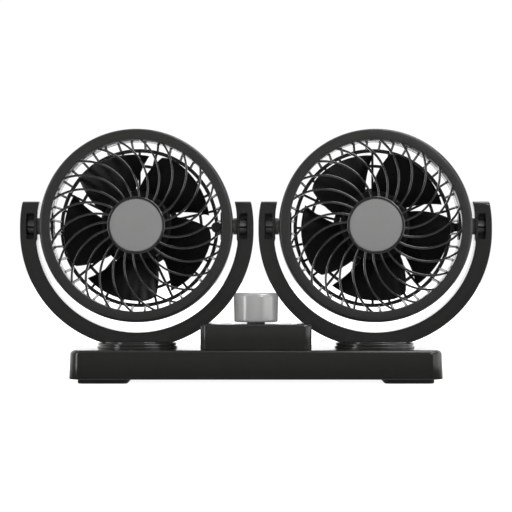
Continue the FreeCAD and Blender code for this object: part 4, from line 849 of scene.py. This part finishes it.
def turntable(side):
    """Swivel disc in two tiers with a groove between them, and the spindle below it."""
    low, high = (corner[2] for corner in cad_corners(side + "_turntable"))
    middle = (BASE_TOP + high) / 2
    groove_low, groove_high = middle - GROOVE_WIDTH / 2, middle + GROOVE_WIDTH / 2
    neck, upper = TURNTABLE_RADIUS - GROOVE_DEPTH, TURNTABLE_RADIUS - TURNTABLE_STEP
    corners = [(0, low), (SPINDLE_RADIUS, low), (SPINDLE_RADIUS, BASE_TOP), (TURNTABLE_RADIUS, BASE_TOP),
               (TURNTABLE_RADIUS, groove_low), (neck, groove_low), (neck, groove_high),
               (upper, groove_high), (upper, high), (0, high)]
    tiers = disc(corners, TURNTABLE_ROUNDS, "z", WIDE_STEPS)
    return piece(side + "_turntable_disc", moved([tiers], head_centre(side) * IN_PLAN), side + "_yoke",
                 GLOSS_BLACK, [side + "_turntable"])


# Base

def base_shell():
    """Long housing: rounded rectangles from the rounded top edge down to the rim, and up again inside,
    drawn in by a draft that grows evenly with the height."""
    low, high = cad_corners("base_shell")
    half_width, half_depth = (high - low)[:2] / 2
    roof = high[2] - BASE_WALL
    inset, drop = quarter_round(BASE_TOP_ROUND, steps=12)
    height = np.concatenate([high[2] - drop, low[2] + BASE_RIM[::-1], [low[2], roof]])
    draft = BASE_DRAFT * (height - low[2]) / (high[2] - low[2])
    inset = np.concatenate([inset, BASE_RIM, [BASE_WALL, BASE_WALL]]) + draft
    skin = rounded_stack(half_width, half_depth, BASE_CORNER, inset, height, steps=12)
    swivels = [head_centre(side) * IN_PLAN for side in SIDES]
    boss = drill(SPINDLE_RADIUS + SWIVEL_BOSS_WALL, roof - SWIVEL_BOSS_LENGTH, roof + BASE_WALL / 2, "z")
    bore = drill(SPINDLE_RADIUS + SEAT_GAP, roof - SWIVEL_BOSS_LENGTH - OVERCUT, high[2] + OVERCUT, "z")
    well = rounded_stack(WELL_LENGTH / 2, WELL_DEPTH / 2, LEAST, [0, 0],
                         [roof - OVERCUT, high[2] + OVERCUT], steps=2)
    entry = drill(GROMMET_RADIUS, high[1] - BASE_WALL - OVERCUT, high[1] + OVERCUT, "y")
    return piece("base_housing", [skin, *[moved([boss], place)[0] for place in swivels]], "base",
                 BASE_BLACK, ["base_shell"],
                 [*[moved([bore], place)[0] for place in swivels], well, *moved([entry], LEAD_ENTRY)])


def box_loops(half_width, half_depth, inset, steps=8, side_steps=33):
    """Outlines of the control box, drawn in by each inset: a rounded rectangle whose two ends are cut back
    to a circle about the near swivel axis."""
    inset = np.asarray(inset, float)[:, None]
    corner = np.maximum(BOX_CORNER - inset[:, 0], LEAST)
    loops = rounded_rectangle(half_width - inset[:, 0], half_depth - inset[:, 0], corner, steps)
    end = np.linspace(-1, 1, side_steps)[1:-1] * (half_depth - inset - corner[:, None])
    wide = np.broadcast_to(half_width - inset, end.shape)
    left, right = np.stack([-wide, -end], axis=-1), np.stack([wide, end], axis=-1)
    loops = np.concatenate([loops[:, :2 * steps], left, loops[:, 2 * steps:], right], axis=1)
    swing = np.maximum((SWING_RADIUS + inset) ** 2 - loops[..., 1] ** 2, 0)
    limit = head_centre("right")[0] - np.sqrt(swing)
    loops[..., 0] = np.sign(loops[..., 0]) * np.minimum(np.abs(loops[..., 0]), limit)
    return loops


def control_box():
    """Raised box: its outlines from the rounded top edge down to the base, and up again inside."""
    low, high = cad_corners("control_box")
    half_width, half_depth = (high - low)[:2] / 2
    inset, drop = quarter_round(BOX_TOP_ROUND, steps=10)
    height = np.concatenate([high[2] - drop, low[2] + BOX_RIM[::-1], [low[2], high[2] - BOX_WALL]])
    loops = box_loops(half_width, half_depth, np.concatenate([inset, BOX_RIM, [BOX_WALL, BOX_WALL]]))
    level = np.broadcast_to(height[:, None], loops.shape[:2])
    skin = shell(np.concatenate([loops, level[..., None]], axis=-1))
    bush_hole = drill(BUSH_HOLE_RADIUS, high[2] - BOX_WALL - OVERCUT, high[2] + OVERCUT, "z")
    return piece("control_box_housing", [skin], "base", GLOSS_BLACK, ["control_box"],
                 moved([bush_hole], KNOB_PLACE))


def speed_knob():
    """Round knob with a rounded top, a recess below for the nut and a groove that points to the numbers."""
    low, high = cad_corners("speed_knob")
    radius, bottom, top = (high[0] - low[0]) / 2, low[2], high[2]
    recess = bottom + KNOB_RECESS_DEPTH
    corners = [(0, recess), (KNOB_RECESS, recess), (KNOB_RECESS, bottom), (radius, bottom), (radius, top),
               (0, top)]
    bore = drill(KNOB_BORE, recess - OVERCUT, recess + KNOB_BORE_DEPTH, "z", BOSS_STEPS)
    aim = np.array([math.sin(DIAL_REST), math.cos(DIAL_REST), 0])
    start, end = (np.array([0, 0, top]) + share * radius * aim for share in (POINTER_START, POINTER_END))
    groove = bar(start, end, (aim[1], -aim[0], 0), POINTER_WIDTH, 2 * POINTER_DEPTH, POINTER_CORNER)
    return piece("speed_knob_cap", moved([disc(corners, KNOB_ROUNDS, "z")], KNOB_PLACE), "knob",
                 KNOB_GREY, ["speed_knob"], moved([bore, groove], KNOB_PLACE))


def foot_pad(side):
    """Rubber pad: rounded rectangles from the flat sole up, whose inner end slants in towards the sole by a
    power of the distance from the middle."""
    low, high = cad_corners(side + "_foot_pad")
    half_width, half_depth = (high - low)[:2] / 2
    middle = (high + low)[:2] / 2
    inset, drop = quarter_round(PAD_EDGE, steps=5)
    points, faces = rounded_stack(half_width, half_depth, PAD_CORNER, np.concatenate([inset, [0.0]]),
                                  np.concatenate([low[2] + drop, [high[2]]]), middle)
    inward = -np.sign(middle[0])
    reach = np.clip((points[:, 0] - middle[0]) * inward / half_width, 0, 1)
    depth = 1 - (points[:, 2] - low[2]) / (high[2] - low[2])
    points[:, 0] -= inward * PAD_SLANT * depth * reach ** PAD_SLANT_POWER
    return piece(side + "_foot_pad_rubber", [(points, faces)], "base", RUBBER,
                 [side + "_foot_pad"])


def lead_grommet():
    """Rubber bush in the back wall: a round lip outside, a flange inside and the bore for the lead."""
    low, high = cad_corners("lead_grommet")
    flange = (high[0] - low[0]) / 2
    wall = high[1] - BASE_WALL
    corners = [(GROMMET_BORE, low[1]), (flange, low[1]), (flange, wall), (GROMMET_RADIUS, wall),
               (GROMMET_RADIUS, high[1]), (GROMMET_BORE, high[1])]
    bush = revolved(rounded_outline(corners, GROMMET_ROUNDS), "y", HOLE_STEPS)
    return piece("lead_grommet_bush", moved([bush], LEAD_ENTRY), "base", RUBBER,
                 ["lead_grommet"])


# Numbers round the knob

DIAL_SIZE = 9.0 * MM
DIAL_THICKNESS = 0.06 * MM
DIAL_RADIUS = 17.0 * MM
DIAL_STEP = math.radians(90.0)


def dial_number(digit, turn):
    """Number printed on the box's top, its foot towards the knob, at an angle clockwise from the back."""
    curve = bpy.data.curves.new("dial_" + digit, "FONT")
    curve.body = digit
    curve.size = DIAL_SIZE
    curve.extrude = DIAL_THICKNESS
    curve.align_x = "CENTER"
    curve.align_y = "CENTER"
    text = bpy.data.objects.new("dial_" + digit, curve)
    bpy.context.scene.collection.objects.link(text)
    mesh = bpy.data.meshes.new_from_object(text.evaluated_get(bpy.context.evaluated_depsgraph_get()))
    bpy.data.objects.remove(text)
    points = np.empty(3 * len(mesh.vertices))
    mesh.vertices.foreach_get("co", points)
    x, y, z = points.reshape(-1, 3).T
    out = y + DIAL_RADIUS
    box_top = cad_corners("control_box")[1][2]
    placed = np.stack([x * math.cos(turn) + out * math.sin(turn), out * math.cos(turn) - x * math.sin(turn),
                       z + box_top], axis=-1)
    faces = [list(face.vertices) for face in mesh.polygons]
    return piece("dial_number_" + digit, moved([(placed, faces)], KNOB_PLACE), "base",
                 DIAL_PRINT)


# Stage

CAMERA_PLACE = (0.0, -1.135, 0.0729)
CAMERA_REACH = 20.0
LENS = 135.95
SENSOR = 36.0
PURE_WHITE = (1.0, 1.0, 1.0, 1.0)
SEEN_SKY = 1.02
FRONT_SKY = 0.08
BACK_SKY = 1.8
TENT_TURN = (-0.42, 0.65)
TENT_RISE = (-0.25, 0.0)
LOW_SHARE = 0.15
TABLE_RISE = (-0.9, -0.4)
TABLE_GLOW = 0.8
FLOOR_SIZE = 8.0
FLOOR_PAINT = (0.9, 0.9, 0.895, 1.0)
FLOOR_ROUGHNESS = 0.9
FLOOR_GLOW = 0.9


def camera():
    """Camera in front of the fan at the height of the photograph's eye, level."""
    lens = bpy.data.cameras.new("front_camera")
    lens.lens = LENS
    lens.sensor_width = SENSOR
    lens.clip_end = CAMERA_REACH
    eye = bpy.data.objects.new("front_camera", lens)
    eye.location = CAMERA_PLACE
    eye.rotation_euler = (math.pi / 2, 0, 0)
    bpy.context.scene.collection.objects.link(eye)
    bpy.context.scene.camera = eye


def softbox(name, place, aim, size, power, mirrored=True, lighting=True):
    """Rectangular soft light that faces a point, and may show in gloss only, or only light what is matt."""
    light = bpy.data.lights.new(name, "AREA")
    light.shape = "RECTANGLE"
    light.size, light.size_y = size
    light.energy = power
    box = bpy.data.objects.new(name, light)
    box.location = place
    direction = Vector(aim) - Vector(place)
    box.rotation_euler = direction.to_track_quat("-Z", "Y").to_euler()
    box.visible_camera = False
    box.visible_glossy = mirrored
    box.visible_diffuse = lighting
    bpy.context.scene.collection.objects.link(box)


def ramp(nodes, links, value, ends, levels):
    """Smooth rise of a value: the first level up to the first end, the second from the second end on."""
    rise = nodes.new("ShaderNodeMapRange")
    rise.interpolation_type = "SMOOTHSTEP"
    rise.inputs["From Min"].default_value, rise.inputs["From Max"].default_value = ends
    rise.inputs["To Min"].default_value, rise.inputs["To Max"].default_value = levels
    links.new(value, rise.inputs["Value"])
    return rise.outputs["Result"]


def studio():
    """Light tent: bright behind the fan, dim in front of it and below, and plain white to the camera."""
    world = bpy.data.worlds.new("studio")
    world.use_nodes = True
    bpy.context.scene.world = world
    nodes, links = world.node_tree.nodes, world.node_tree.links
    sky = nodes["Background"]
    sky.inputs["Color"].default_value = PURE_WHITE
    direction = nodes.new("ShaderNodeTexCoord")
    parts = nodes.new("ShaderNodeSeparateXYZ")
    links.new(direction.outputs["Generated"], parts.inputs["Vector"])
    tent = nodes.new("ShaderNodeMath")
    tent.operation = "MULTIPLY_ADD"
    links.new(ramp(nodes, links, parts.outputs["Y"], TENT_TURN, (FRONT_SKY, BACK_SKY)), tent.inputs[0])
    links.new(ramp(nodes, links, parts.outputs["Z"], TENT_RISE, (LOW_SHARE, 1.0)), tent.inputs[1])
    links.new(ramp(nodes, links, parts.outputs["Z"], TABLE_RISE, (TABLE_GLOW, 0.0)), tent.inputs[2])
    path = nodes.new("ShaderNodeLightPath")
    seen = nodes.new("ShaderNodeMix")
    seen.inputs["B"].default_value = SEEN_SKY
    links.new(path.outputs["Is Camera Ray"], seen.inputs["Factor"])
    links.new(tent.outputs["Value"], seen.inputs["A"])
    links.new(seen.outputs["Result"], sky.inputs["Strength"])


def white_floor():
    """Pale floor under the feet that glows, as an evenly lit table does, and casts no light on the fan."""
    half = FLOOR_SIZE / 2
    mesh = bpy.data.meshes.new("floor")
    corners = [(-half, -half, 0), (half, -half, 0), (half, half, 0), (-half, half, 0)]
    mesh.from_pydata(corners, [], [(0, 1, 2, 3)])
    floor = bpy.data.objects.new("floor", mesh)
    bpy.context.scene.collection.objects.link(floor)
    material = bpy.data.materials.new("white_table")
    material.use_nodes = True
    shader = material.node_tree.nodes["Principled BSDF"]
    shader.inputs["Base Color"].default_value = FLOOR_PAINT
    shader.inputs["Roughness"].default_value = FLOOR_ROUGHNESS
    shader.inputs["Emission Color"].default_value = PURE_WHITE
    shader.inputs["Emission Strength"].default_value = FLOOR_GLOW
    mesh.materials.append(material)
    floor.visible_glossy = False
    floor.visible_diffuse = False


# The whole fan

for subpart in frame["record"]["subparts"]:
    cad_mesh = CAD[subpart["node"]].data
    cad_mesh.materials.clear()
    cad_mesh.materials.append(NODE_FINISH.get(subpart["node"], SLOT_FINISH[subpart["material_slot"]]))

for side in SIDES:
    front_grille(side)
    hub_badge(side)
    rear_grille(side)
    impeller(side)
    yoke(side)
    turntable(side)
    foot_pad(side)

base_shell()
control_box()
speed_knob()
lead_grommet()
for index, digit in enumerate("012"):
    dial_number(digit, DIAL_REST + index * DIAL_STEP)

camera()
studio()
white_floor()

# Soft lights at the sides, glints that only show in gloss, and fills that only light what is matt

softbox("left_strip", place=(-0.78, -0.45, 0.20), aim=(0, 0, 0.06), size=(0.18, 0.7), power=2.0)
softbox("right_wall", place=(0.78, -0.30, 0.12), aim=(0, 0, 0.06), size=(1.00, 0.45), power=2.2)
softbox("top_glint", place=(0.36, -0.10, 0.80), aim=(0.05, 0, 0.06), size=(0.40, 0.5), power=4.0,
        lighting=False)
softbox("tip_glint", place=(0.46, -0.79, 0.48), aim=(-0.07, 0, 0.11), size=(0.16, 0.16), power=1.5,
        lighting=False)
softbox("front_fill", place=(0, -0.32, 0.46), aim=(0, 0, 0.08), size=(0.9, 0.2), power=1.25, mirrored=False)
softbox("eye_fill", place=(0, -1.0, 0.14), aim=(0, 0, 0.08), size=(0.6, 0.3), power=3.0, mirrored=False)
bpy.context.scene.view_settings.view_transform = "Standard"
